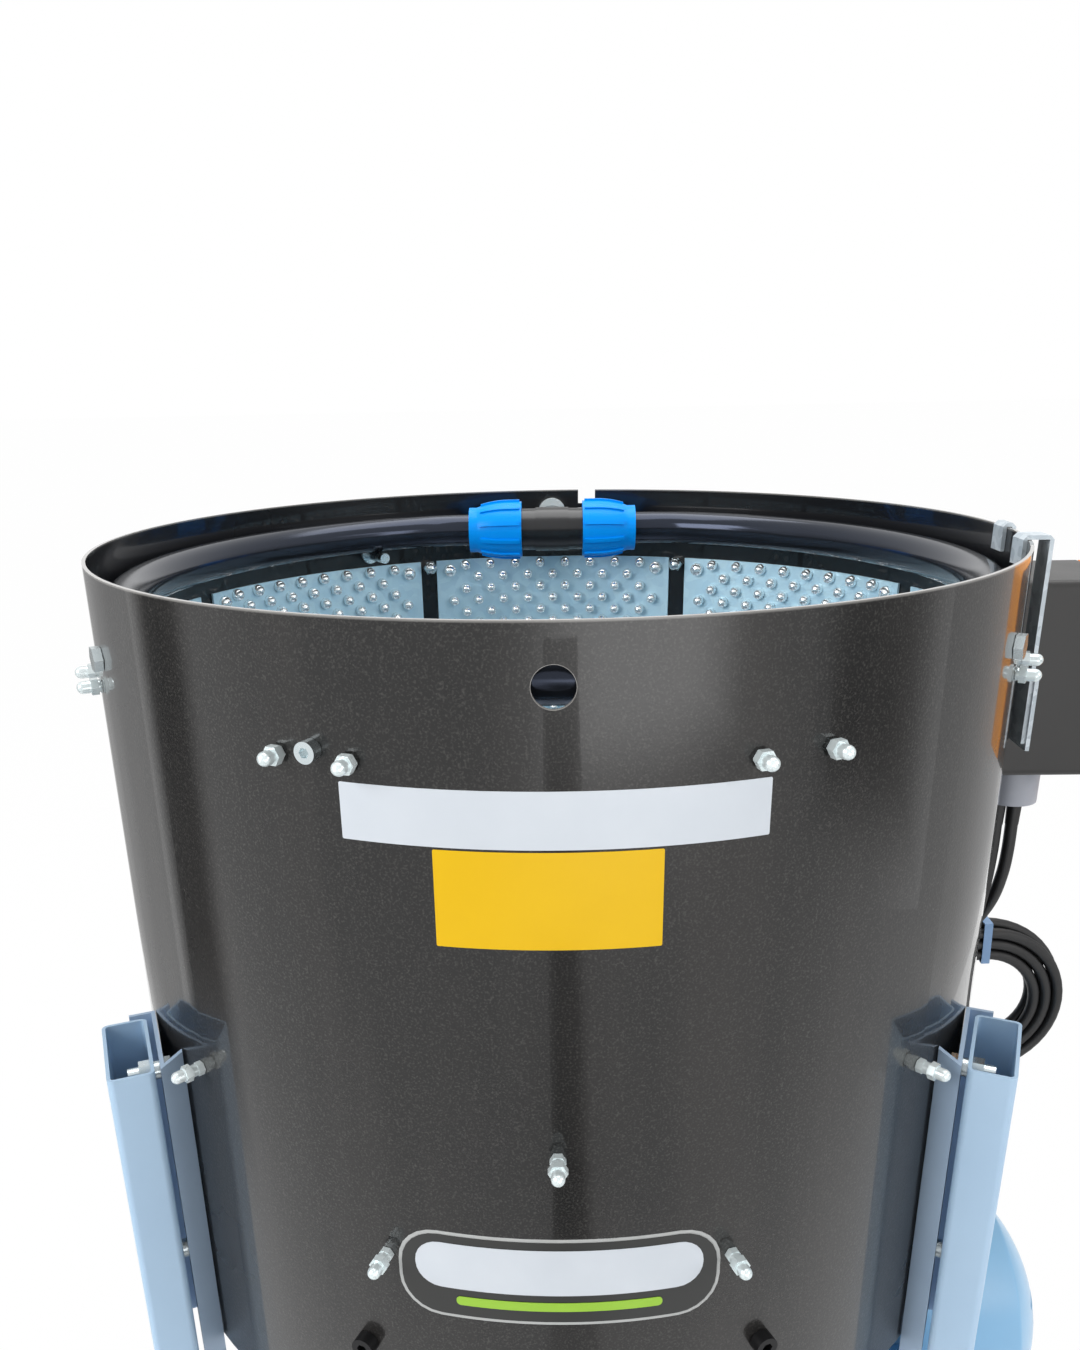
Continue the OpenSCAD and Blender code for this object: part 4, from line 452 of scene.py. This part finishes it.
def soften(node_name, angle):
    """A merged copy of a CAD node that shades smoothly across bends under an angle in degrees."""
    mesh = nodes[node_name].data.copy()
    shape = bmesh.new()
    shape.from_mesh(mesh)
    bmesh.ops.remove_doubles(shape, verts=shape.verts[:], dist=MERGE_GAP)
    for face in shape.faces:
        face.smooth = True
    for edge in shape.edges:
        edge.smooth = edge.calc_face_angle(math.pi) < math.radians(angle)
    shape.to_mesh(mesh)
    shape.free()
    piece = bpy.data.objects.new("soft_" + node_name, mesh)
    scene.collection.objects.link(piece)
    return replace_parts(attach(piece, "frame"), node_name)


for soft_name, (slot, angle) in SOFT_PARTS.items():
    soft_piece = soften(soft_name, angle)
    print("softened:", soft_piece.name, len(soft_piece.data.polygons), "faces")

# %% [markdown]
# ## Galvanised sheet
# Hot-dip zinc freezes into flat crystals, the spangle, each with its own grey. A Voronoi texture has the
# same make-up: cells with one value each. The spangle on thin sheet is about 9 mm across. The liner is
# painted paler and bluer than the hooks: painted light, tinted with the cool shade inside the drum.

# %% Galvanised sheet
PANELS = 8


def galvanised(name, colours, roughness, spangle_mm):
    """Zinc sheet whose crystals differ in grey."""
    material = finish(name, colours, roughness, 45, 1.0, 0.02, {"Metallic": 0.2})
    tree = material.node_tree
    shader = tree.nodes["Principled BSDF"]
    place = add(tree, "ShaderNodeTexCoord").outputs["Object"]
    cells = add(tree, "ShaderNodeTexVoronoi", {"Vector": place, "Scale": per_mm(spangle_mm)})
    value = add(tree, "ShaderNodeSeparateColor", {0: cells.outputs["Color"]}).outputs[0]
    base = shader.inputs["Base Color"].links[0].from_socket
    crystal = add(tree, "ShaderNodeMix", {0: value, 6: base, 7: linear(colours[2])}, data_type="RGBA")
    tree.links.new(crystal.outputs[2], shader.inputs["Base Color"])
    return material


# Painted light and shade: the liner's pale blue colours stand in for the cool shade inside the drum.
liner_zinc = galvanised("galvanised_liner", ("#B4DAEE", "#C2E4F4", "#CAEBF9"), (0.34, 0.46), 9)
hook_zinc = galvanised("galvanised_strip", ("#9BA6AE", "#B4BEC5", "#C6CFD5"), (0.3, 0.44), 7)
dress(liner_zinc, *(f"liner_panel_{k + 1}" for k in range(PANELS)))
dress(hook_zinc, "control_bracket")
print("galvanised parts dressed")

# %% [markdown]
# ## Growing pieces with Geometry Nodes
# Studs repeat by the hundred and a pipe follows a path. A Geometry Nodes tree makes each from named
# sizes. The result is then kept as a plain mesh and the modifier goes away, so that nothing depends
# on it later.

# %% Run a tree and keep its mesh
def grow(name, source, tree, body, inputs):
    """Runs a tree on a source object, and keeps the result as a plain mesh on a body."""
    modifier = source.modifiers.new("grow", "NODES")
    modifier.node_group = tree
    for socket_name, value in inputs.items():
        modifier[tree.interface.items_tree[socket_name].identifier] = value
    depsgraph = bpy.context.evaluated_depsgraph_get()
    mesh = bpy.data.meshes.new_from_object(source.evaluated_get(depsgraph), depsgraph=depsgraph)
    source.modifiers.remove(modifier)
    bpy.data.objects.remove(source)
    piece = bpy.data.objects.new(name, mesh)
    scene.collection.objects.link(piece)
    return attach(piece, body)


def open_tree(name, floats):
    """A new geometry tree with a geometry input, named lengths, a finish and a geometry output."""
    tree = bpy.data.node_groups.new(name, "GeometryNodeTree")
    tree.interface.new_socket("Source", in_out="INPUT", socket_type="NodeSocketGeometry")
    for socket_name in floats:
        tree.interface.new_socket(socket_name, in_out="INPUT", socket_type="NodeSocketFloat")
    tree.interface.new_socket("Finish", in_out="INPUT", socket_type="NodeSocketMaterial")
    tree.interface.new_socket("Result", in_out="OUTPUT", socket_type="NodeSocketGeometry")
    return tree, add(tree, "NodeGroupInput").outputs


def close_tree(tree, geometry, finish_socket):
    """Ends a tree with real geometry, smooth shading and its finish."""
    real = add(tree, "GeometryNodeRealizeInstances", {0: geometry}).outputs[0]
    smooth = add(tree, "GeometryNodeSetShadeSmooth", {0: real}).outputs[0]
    coated = add(tree, "GeometryNodeSetMaterial", {"Geometry": smooth, "Material": finish_socket}).outputs[0]
    add(tree, "NodeGroupOutput", {0: coated})


print("growing helpers ready")

# %% [markdown]
# ## The water pipe
# A black polyethylene pipe runs round inside the rim and ends in the two sides of the tee at the back.
# It is straight through the tee, then bends, then follows the drum. A path of arcs and a circle swept
# along it give that exactly, with far rounder walls than the CAD solid. Extruded polyethylene is smooth and
# waxy. The blue cast of its gloss is a painted reflection, a tint that stands in for the sky it mirrors.

# %% Water pipe
PIPE_RADIUS = 0.016
RING_INSET = 0.025
RING_RADIUS = DRUM_RADIUS - RING_INSET
TEE_LENGTH = 0.171
STRAIGHT_PAST_TEE = 0.0104
BEND_RADIUS = 0.100
RUN_HALF = TEE_LENGTH / 2 + STRAIGHT_PAST_TEE
SOCKET_STOP = 0.0205
PIPE_SIDES, BEND_STEPS, RING_STEPS = 28, 10, 72

bend_y = math.sqrt((RING_RADIUS - BEND_RADIUS) ** 2 - RUN_HALF ** 2)
run_y = bend_y + BEND_RADIUS
bend_angle = math.atan2(RUN_HALF, bend_y)
half_path = [(SOCKET_STOP, run_y)]
for i in range(BEND_STEPS):
    a = math.pi / 2 - i * bend_angle / BEND_STEPS
    half_path.append((RUN_HALF + BEND_RADIUS * math.cos(a), bend_y + BEND_RADIUS * math.sin(a)))
for i in range(RING_STEPS + 1):
    a = math.pi / 2 - bend_angle - i * (math.pi - bend_angle) / RING_STEPS
    half_path.append((RING_RADIUS * math.cos(a), RING_RADIUS * math.sin(a)))
pipe_path = half_path + [(-x, y) for x, y in reversed(half_path[:-1])]

sweep, given = open_tree("swept_pipe", ["Pipe Radius"])
ring = add(sweep, "GeometryNodeCurvePrimitiveCircle", {"Resolution": PIPE_SIDES,
                                                       "Radius": given["Pipe Radius"]}).outputs[0]
swept = add(sweep, "GeometryNodeCurveToMesh", {"Curve": given["Source"], "Profile Curve": ring}).outputs[0]
close_tree(sweep, swept, given["Finish"])

# Painted reflection: the pale blue specular tint stands in for the sky over the rim.
pe_pipe = finish("black_polyethylene", ("#15171A", "#202328"), (0.10, 0.18), 60, 2.0, 0.01,
                 {"Specular Tint": linear("#C4D2F6")})
path = bpy.data.curves.new("pipe_path", "CURVE")
path.dimensions = "3D"
line = path.splines.new("POLY")
line.points.add(len(pipe_path) - 1)
for point, (x, y) in zip(line.points, pipe_path):
    point.co = (x, y, PIPE_HEIGHT, 1.0)
path_object = bpy.data.objects.new("pipe_path", path)
scene.collection.objects.link(path_object)
pipe = grow("water_pipe", path_object, sweep, "frame",
            {"Pipe Radius": PIPE_RADIUS, "Finish": pe_pipe})
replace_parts(pipe, "water_ring")
print("water pipe:", len(pipe.data.polygons), "faces")

# %% [markdown]
# ## Studs on the liner
# The panels carry rows of blunt zinc studs, each row shifted by half a step from the next. The places
# come from two loops over rows and columns; places too close to a bolt's head are left out. The tree
# bends a little cylinder into a dome, and sets one on each place, facing inwards. The studs are bright
# enough to mirror the sky over the rim in their upper halves and the dark drum in their lower ones.

# %% Panel bolts
PANEL_GAP, PANEL_SHEET = 0.0003, 0.002
PANEL_FACE = DRUM_RADIUS - DRUM_WALL - PANEL_GAP - PANEL_SHEET
PANEL_STEP = math.tau / PANELS
REAR_PANEL = 4
CORNER_BOLT = math.radians(18.7)
TOP_BOLT, MID_BOLT, LOW_BOLT = (RIM_HEIGHT - drop for drop in (0.080, 0.330, 0.418))
GUIDE_SCREW = math.radians(19.6)
GUIDE_SCREW_HEIGHTS = [RIM_HEIGHT - drop for drop in (0.155, 0.260)]


def drum_place(azimuth, radius, height):
    """A point at an azimuth from the front, positive towards +X."""
    return Vector((radius * math.sin(azimuth), -radius * math.cos(azimuth), height))


def seat_on_panel(azimuth, height):
    """A point on a panel's face, and the direction inwards from it."""
    return drum_place(azimuth, PANEL_FACE, height), drum_place(azimuth, -1.0, 0.0)


def bolt_places(panel):
    """Azimuth from the panel's middle, and height, of what the studs keep off."""
    side = math.sin(panel * PANEL_STEP)
    places = [(s * CORNER_BOLT, TOP_BOLT) for s in (-1, 1)]
    if panel == REAR_PANEL:
        return places + [(s * GUIDE_SCREW, z) for s in (-1, 1) for z in GUIDE_SCREW_HEIGHTS]
    rear_corners = [s for s in (-1, 1) if s * side >= 0]
    return places + [(0.0, MID_BOLT)] + [(s * CORNER_BOLT, LOW_BOLT) for s in rear_corners]


print("bolts on the front panel:", len(bolt_places(0)))

# %% Stud places
STUD_ROW = 0.0125
STUD_COLUMN = math.radians(4.53)
STUD_COLUMNS = 9
STUD_EDGE = 0.006
BOLT_CLEAR = 0.0115


def stud_places(panel):
    """Points on a panel's face with the inward direction of each."""
    low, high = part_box(f"liner_panel_{panel + 1}")
    middle = panel * PANEL_STEP
    bolts = bolt_places(panel)
    places = []
    for row in range(int((high.z - low.z - 2 * STUD_EDGE) / STUD_ROW) + 1):
        height = high.z - STUD_EDGE - row * STUD_ROW
        count = STUD_COLUMNS - 1 + row % 2
        for column in range(count):
            turn = (column - (count - 1) / 2) * STUD_COLUMN
            gap = min(math.hypot((turn - a) * PANEL_FACE, height - z) for a, z in bolts)
            if gap > BOLT_CLEAR:
                places.append(seat_on_panel(middle + turn, height))
    return places


def place_object(name, places):
    """A mesh of bare points that remember which way each piece on them faces."""
    mesh = bpy.data.meshes.new(name)
    mesh.from_pydata([place for place, _ in places], [], [])
    facing = mesh.attributes.new("facing", "FLOAT_VECTOR", "POINT")
    facing.data.foreach_set("vector", [c for _, direction in places for c in direction])
    holder = bpy.data.objects.new(name, mesh)
    scene.collection.objects.link(holder)
    return holder


print("studs on the front panel:", len(stud_places(0)))

# %% Stud tree
STUD_SIDES, STUD_RINGS = 10, 4
STUD_RADIUS, STUD_HEIGHT = 0.0058, 0.0084
HALF_CAN = 0.5
STUD_BLUNT = 0.97
STUD_FULLNESS = 2.5

studs, given = open_tree("studs_on_places", ["Stud Radius", "Stud Height"])
can = add(studs, "GeometryNodeMeshCylinder", {"Vertices": STUD_SIDES, "Side Segments": STUD_RINGS,
                                              "Radius": 1.0, "Depth": 1.0}).outputs["Mesh"]
position = add(studs, "GeometryNodeInputPosition").outputs[0]
corner = add(studs, "ShaderNodeSeparateXYZ", {0: position}).outputs
rise = add(studs, "ShaderNodeMath", {0: corner[2], 1: HALF_CAN}, operation="ADD").outputs[0]
blunt = add(studs, "ShaderNodeMath", {0: rise, 1: STUD_BLUNT}, operation="MULTIPLY").outputs[0]
bowed = add(studs, "ShaderNodeMath", {0: blunt, 1: STUD_FULLNESS}, operation="POWER").outputs[0]
rest = add(studs, "ShaderNodeMath", {0: 1.0, 1: bowed}, operation="SUBTRACT").outputs[0]
share = add(studs, "ShaderNodeMath", {0: rest, 1: 1 / STUD_FULLNESS}, operation="POWER").outputs[0]
reach = add(studs, "ShaderNodeMath", {0: share, 1: given["Stud Radius"]}, operation="MULTIPLY").outputs[0]
dome_x = add(studs, "ShaderNodeMath", {0: corner[0], 1: reach}, operation="MULTIPLY").outputs[0]
dome_y = add(studs, "ShaderNodeMath", {0: corner[1], 1: reach}, operation="MULTIPLY").outputs[0]
dome_z = add(studs, "ShaderNodeMath", {0: rise, 1: given["Stud Height"]}, operation="MULTIPLY").outputs[0]
moved = add(studs, "ShaderNodeCombineXYZ", {0: dome_x, 1: dome_y, 2: dome_z}).outputs[0]
dome = add(studs, "GeometryNodeSetPosition", {"Geometry": can, "Position": moved}).outputs[0]
facing = add(studs, "GeometryNodeInputNamedAttribute", {"Name": "facing"}, data_type="FLOAT_VECTOR")
turned = add(studs, "FunctionNodeAlignRotationToVector", {"Vector": facing.outputs[0]}, axis="Z").outputs[0]
placed = add(studs, "GeometryNodeInstanceOnPoints", {"Points": given["Source"], "Instance": dome,
                                                     "Rotation": turned}).outputs[0]
close_tree(studs, placed, given["Finish"])

stud_zinc = finish("bright_zinc_stud", ("#EEF6F8", "#FAFDFE"), (0.14, 0.24), 12, 0.9, 0.02,
                   {"Metallic": 0.85})
for panel in range(PANELS):
    holder = place_object(f"stud_places_{panel + 1}", stud_places(panel))
    field = grow(f"liner_studs_{panel + 1}", holder, studs, "frame",
                 {"Stud Radius": STUD_RADIUS, "Stud Height": STUD_HEIGHT, "Finish": stud_zinc})
print("faces on one panel's studs:", len(field.data.polygons))

# %% [markdown]
# The bolts that hold the panels have low domed heads. They catch the sky over the rim as the studs do, so
# the stud's own tree draws them, wider and lower. On the rear panel only the first two places are bolts,
# and the others are the gate guide's screws.

# %% Bolt heads on the panels
HEAD_RADIUS, HEAD_HEIGHT = 0.0071, 0.0066
REAR_BOLTS = 2

for panel in range(PANELS):
    bolts = bolt_places(panel)[:REAR_BOLTS] if panel == REAR_PANEL else bolt_places(panel)
    middle = panel * PANEL_STEP
    seats = [seat_on_panel(middle + turn, height) for turn, height in bolts]
    holder = place_object(f"head_places_{panel + 1}", seats)
    heads = grow(f"panel_heads_{panel + 1}", holder, studs, "frame",
                 {"Stud Radius": HEAD_RADIUS, "Stud Height": HEAD_HEIGHT, "Finish": stud_zinc})
print("faces on the last panel's bolt heads:", len(heads.data.polygons))

# %% [markdown]
# ## Stickers on the drum
# The front carries a long white sticker, a yellow one below it and a badge near the foot. They are left
# blank here. Each is a flat outline with round corners, sliced into narrow strips and bent round the
# drum, with a real thickness so that its edge catches the light. Printed vinyl is even, with a low gloss.
# Each keeps a UV map, so that a print can be laid on it later.

# %% One sticker
STRIP = 0.006
CORNER_STEPS = 6
VINYL_THICKNESS = 0.0003


def sticker(name, material, azimuths, heights, corner_radius, lift):
    """A round-cornered plate bent round the drum, between two azimuths in degrees and two heights."""
    radius = DRUM_RADIUS + lift
    left, right_edge = (math.radians(a) * radius for a in azimuths)
    bottom, top = heights
    shape = bmesh.new()
    outline = []
    for cx, cy, quarter in ((right_edge - corner_radius, top - corner_radius, 0),
                            (left + corner_radius, top - corner_radius, 1),
                            (left + corner_radius, bottom + corner_radius, 2),
                            (right_edge - corner_radius, bottom + corner_radius, 3)):
        for step in range(CORNER_STEPS + 1):
            a = (quarter + step / CORNER_STEPS) * math.pi / 2
            x, y = cx + corner_radius * math.cos(a), cy + corner_radius * math.sin(a)
            outline.append(shape.verts.new((x, y, 0)))
    shape.faces.new(outline)
    cut = left + STRIP
    while cut < right_edge - STRIP / 2:
        bmesh.ops.bisect_plane(shape, geom=shape.verts[:] + shape.edges[:] + shape.faces[:],
                               plane_co=(cut, 0, 0), plane_no=(1, 0, 0))
        cut += STRIP
    uv = shape.loops.layers.uv.new("sticker")
    for face in shape.faces:
        for loop in face.loops:
            x, y, _ = loop.vert.co
            loop[uv].uv = ((x - left) / (right_edge - left), (y - bottom) / (top - bottom))
    for vert in shape.verts:
        vert.co = drum_place(vert.co.x / radius, radius, vert.co.y)
    bmesh.ops.recalc_face_normals(shape, faces=shape.faces[:])
    mesh = bpy.data.meshes.new(name)
    shape.to_mesh(mesh)
    shape.free()
    mesh.materials.append(material)
    plate = bpy.data.objects.new(name, mesh)
    scene.collection.objects.link(plate)
    solid = plate.modifiers.new("thickness", "SOLIDIFY")
    solid.thickness = VINYL_THICKNESS
    solid.offset = 1.0
    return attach(plate, "frame")


print("sticker ready")

# %% All the stickers
LOW_LIFT, PLATE_LIFT, TOP_LIFT = 0.0002, 0.0006, 0.0010
VINYL = ((0.3, 0.4), 40, 1.5, 0.02)

white_vinyl = finish("white_vinyl_print", ("#C9D0D8", "#D3D9E0"), *VINYL)
yellow_vinyl = finish("yellow_vinyl_print", ("#E2B400", "#E9BC00"), *VINYL, {"Specular IOR Level": 0.25})
badge_pale = finish("pale_grey_vinyl_print", ("#A9ABAA", "#B9BBBA"), *VINYL)
lime_vinyl = finish("lime_vinyl_print", ("#8FBF2A", "#9CCB38"), *VINYL)
badge_dark = finish("charcoal_vinyl_print", ("#232423", "#2B2C2B"), *VINYL)
sticker("white_sticker", white_vinyl, (-20, 20), (0.874, 0.908), 0.001, LOW_LIFT)
sticker("yellow_sticker", yellow_vinyl, (-11.2, 9.9), (0.813, 0.8725), 0.001, LOW_LIFT)
sticker("badge_edge", badge_pale, (-17.4, 17.4), (0.5395, 0.6085), 0.028, LOW_LIFT)
sticker("badge_plate", badge_dark, (-17, 17), (0.542, 0.606), 0.026, PLATE_LIFT)
sticker("badge_field", white_vinyl, (-15.4, 15.4), (0.564, 0.600), 0.017, TOP_LIFT)
badge_stripe = sticker("badge_stripe", lime_vinyl, (-11, 11), (0.551, 0.558), 0.003, TOP_LIFT)
print("stickers done, the last with", len(badge_stripe.data.polygons), "faces")

# %% [markdown]
# ## Light, floor and backdrop
# The photograph has a pure white ground. The floor and the world are white to the camera and to
# reflections, while what lights the object stays at a plain level. Large soft lamps stand left, right
# and above, as in a studio.

# %% Floor
FLOOR_HALF = 40.0
WHITE_SHARE = 0.985

floor_mesh = bpy.data.meshes.new("floor")
floor_corners = [(x * FLOOR_HALF, y * FLOOR_HALF, 0) for x, y in ((-1, -1), (1, -1), (1, 1), (-1, 1))]
floor_mesh.from_pydata(floor_corners, [], [(0, 1, 2, 3)])
floor = bpy.data.objects.new("floor", floor_mesh)
scene.collection.objects.link(floor)
floor_paint = bpy.data.materials.new("white_floor")
floor_paint.use_nodes = True
tree = floor_paint.node_tree
tree.nodes.clear()
rays = add(tree, "ShaderNodeLightPath").outputs
direct = add(tree, "ShaderNodeMath", {0: rays["Is Camera Ray"], 1: rays["Is Glossy Ray"]},
             operation="MAXIMUM").outputs[0]
seen = add(tree, "ShaderNodeMath", {0: direct, 1: rays["Is Transmission Ray"]},
           operation="MAXIMUM").outputs[0]
shown = add(tree, "ShaderNodeMath", {0: seen, 1: WHITE_SHARE}, operation="MULTIPLY").outputs[0]
pale = add(tree, "ShaderNodeBsdfDiffuse", {"Color": linear("#F4F4F4")}).outputs[0]
white = add(tree, "ShaderNodeEmission", {"Color": (1, 1, 1, 1), "Strength": 1.0}).outputs[0]
ground = add(tree, "ShaderNodeMixShader", {0: shown, 1: pale, 2: white}).outputs[0]
add(tree, "ShaderNodeOutputMaterial", {"Surface": ground})
floor_mesh.materials.append(floor_paint)
print("floor ready")

# %% World
WORLD_LEVEL = 0.55

world = bpy.data.worlds.new("studio")
scene.world = world
world.use_nodes = True
tree = world.node_tree
tree.nodes.clear()
rays = add(tree, "ShaderNodeLightPath").outputs
seen = add(tree, "ShaderNodeMath", {0: rays["Is Camera Ray"], 1: rays["Is Glossy Ray"]},
           operation="MAXIMUM").outputs[0]
level = add(tree, "ShaderNodeMapRange", {0: seen, 3: WORLD_LEVEL, 4: 1.0}).outputs[0]
sky = add(tree, "ShaderNodeBackground", {"Color": (1, 1, 1, 1), "Strength": level}).outputs[0]
add(tree, "ShaderNodeOutputWorld", {"Surface": sky})
print("world ready")

# %% Lamps
LAMP_TARGET = Vector((0, 0, 0.8))


def soft_lamp(name, place, size, watts):
    """A square soft lamp that faces the drum."""
    light = bpy.data.lights.new(name, "AREA")
    light.size = size
    light.energy = watts
    lamp = bpy.data.objects.new(name, light)
    lamp.location = place
    lamp.rotation_mode = "QUATERNION"
    lamp.rotation_quaternion = (LAMP_TARGET - Vector(place)).to_track_quat("-Z", "Y")
    scene.collection.objects.link(lamp)


soft_lamp("key_left", (-2.4, -1.6, 2.2), 1.6, 60)
soft_lamp("fill_right", (2.6, -1.2, 1.6), 1.4, 30)
soft_lamp("top", (0.2, 0.4, 3.0), 2.0, 45)
print("lamps:", len(bpy.data.lights))

# %% [markdown]
# A glossy black drum shows its surroundings. Dark boards at the sides and a narrow one leaning in front
# draw the dark bands on it, grey ones hold its edges down, and a wide bright one behind the camera gives the
# sheen under the rim. Their edges fade into the white ground, and only reflections see them, so they change
# nothing else.

# %% Boards for the reflections
FADE_START, FADE_END = 0.16, 0.5
BOARD_MIDDLE = (0.5, 0.5, 0.5)


def board(name, corners, glow):
    """A flat board that glows at one strength in its middle and fades to the white ground at its edges."""
    material = bpy.data.materials.new(name)
    material.use_nodes = True
    tree = material.node_tree
    tree.nodes.clear()
    across = add(tree, "ShaderNodeTexCoord").outputs["Generated"]
    away = add(tree, "ShaderNodeVectorMath", {0: across, 1: BOARD_MIDDLE}, operation="SUBTRACT").outputs[0]
    spread = add(tree, "ShaderNodeVectorMath", {0: away}, operation="ABSOLUTE").outputs[0]
    off = add(tree, "ShaderNodeSeparateXYZ", {0: spread}).outputs
    wide = add(tree, "ShaderNodeMath", {0: off[0], 1: off[1]}, operation="MAXIMUM").outputs[0]
    far = add(tree, "ShaderNodeMath", {0: wide, 1: off[2]}, operation="MAXIMUM").outputs[0]
    fade = add(tree, "ShaderNodeMapRange", {0: far, 1: FADE_START, 2: FADE_END, 3: glow, 4: 1.0},
               interpolation_type="SMOOTHSTEP").outputs[0]
    lit = add(tree, "ShaderNodeEmission", {"Color": (1, 1, 1, 1), "Strength": fade}).outputs[0]
    add(tree, "ShaderNodeOutputMaterial", {"Surface": lit})
    mesh = bpy.data.meshes.new(name)
    mesh.from_pydata(corners, [], [(0, 1, 2, 3)])
    mesh.materials.append(material)
    piece = bpy.data.objects.new(name, mesh)
    scene.collection.objects.link(piece)
    piece.visible_camera = False
    piece.visible_diffuse = False
    piece.visible_shadow = False


def beside(x, ys, zs):
    """The corners of an upright board beside the drum."""
    return [(x, ys[0], zs[0]), (x, ys[1], zs[0]), (x, ys[1], zs[1]), (x, ys[0], zs[1])]


def before(xs, ys, zs):
    """The corners of a board before the drum, leaning from one depth at its foot to another at its top."""
    return [(xs[0], ys[0], zs[0]), (xs[1], ys[0], zs[0]), (xs[1], ys[1], zs[1]), (xs[0], ys[1], zs[1])]


board("dark_board_left", beside(-0.87, (-0.30, 0.05), (0, 1.4)), 0.0)
board("grey_board_left", beside(-1.0, (-0.2, 1.6), (-0.4, 1.6)), 0.40)
board("dark_board_right", beside(1.2, (-1.0, -0.08), (0.35, 1.15)), 0.15)
board("grey_board_right", beside(1.3, (-0.6, 2.0), (-0.4, 1.6)), 0.50)
board("dark_board_front", before((-0.05, 0.12), (-0.6, -1.5), (0.003, 0.75)), 0.0)
board("sheen_board", before((-0.3, 1.3), (-1.56, -1.52), (0.4, 1.04)), 4.2)
print("boards ready")
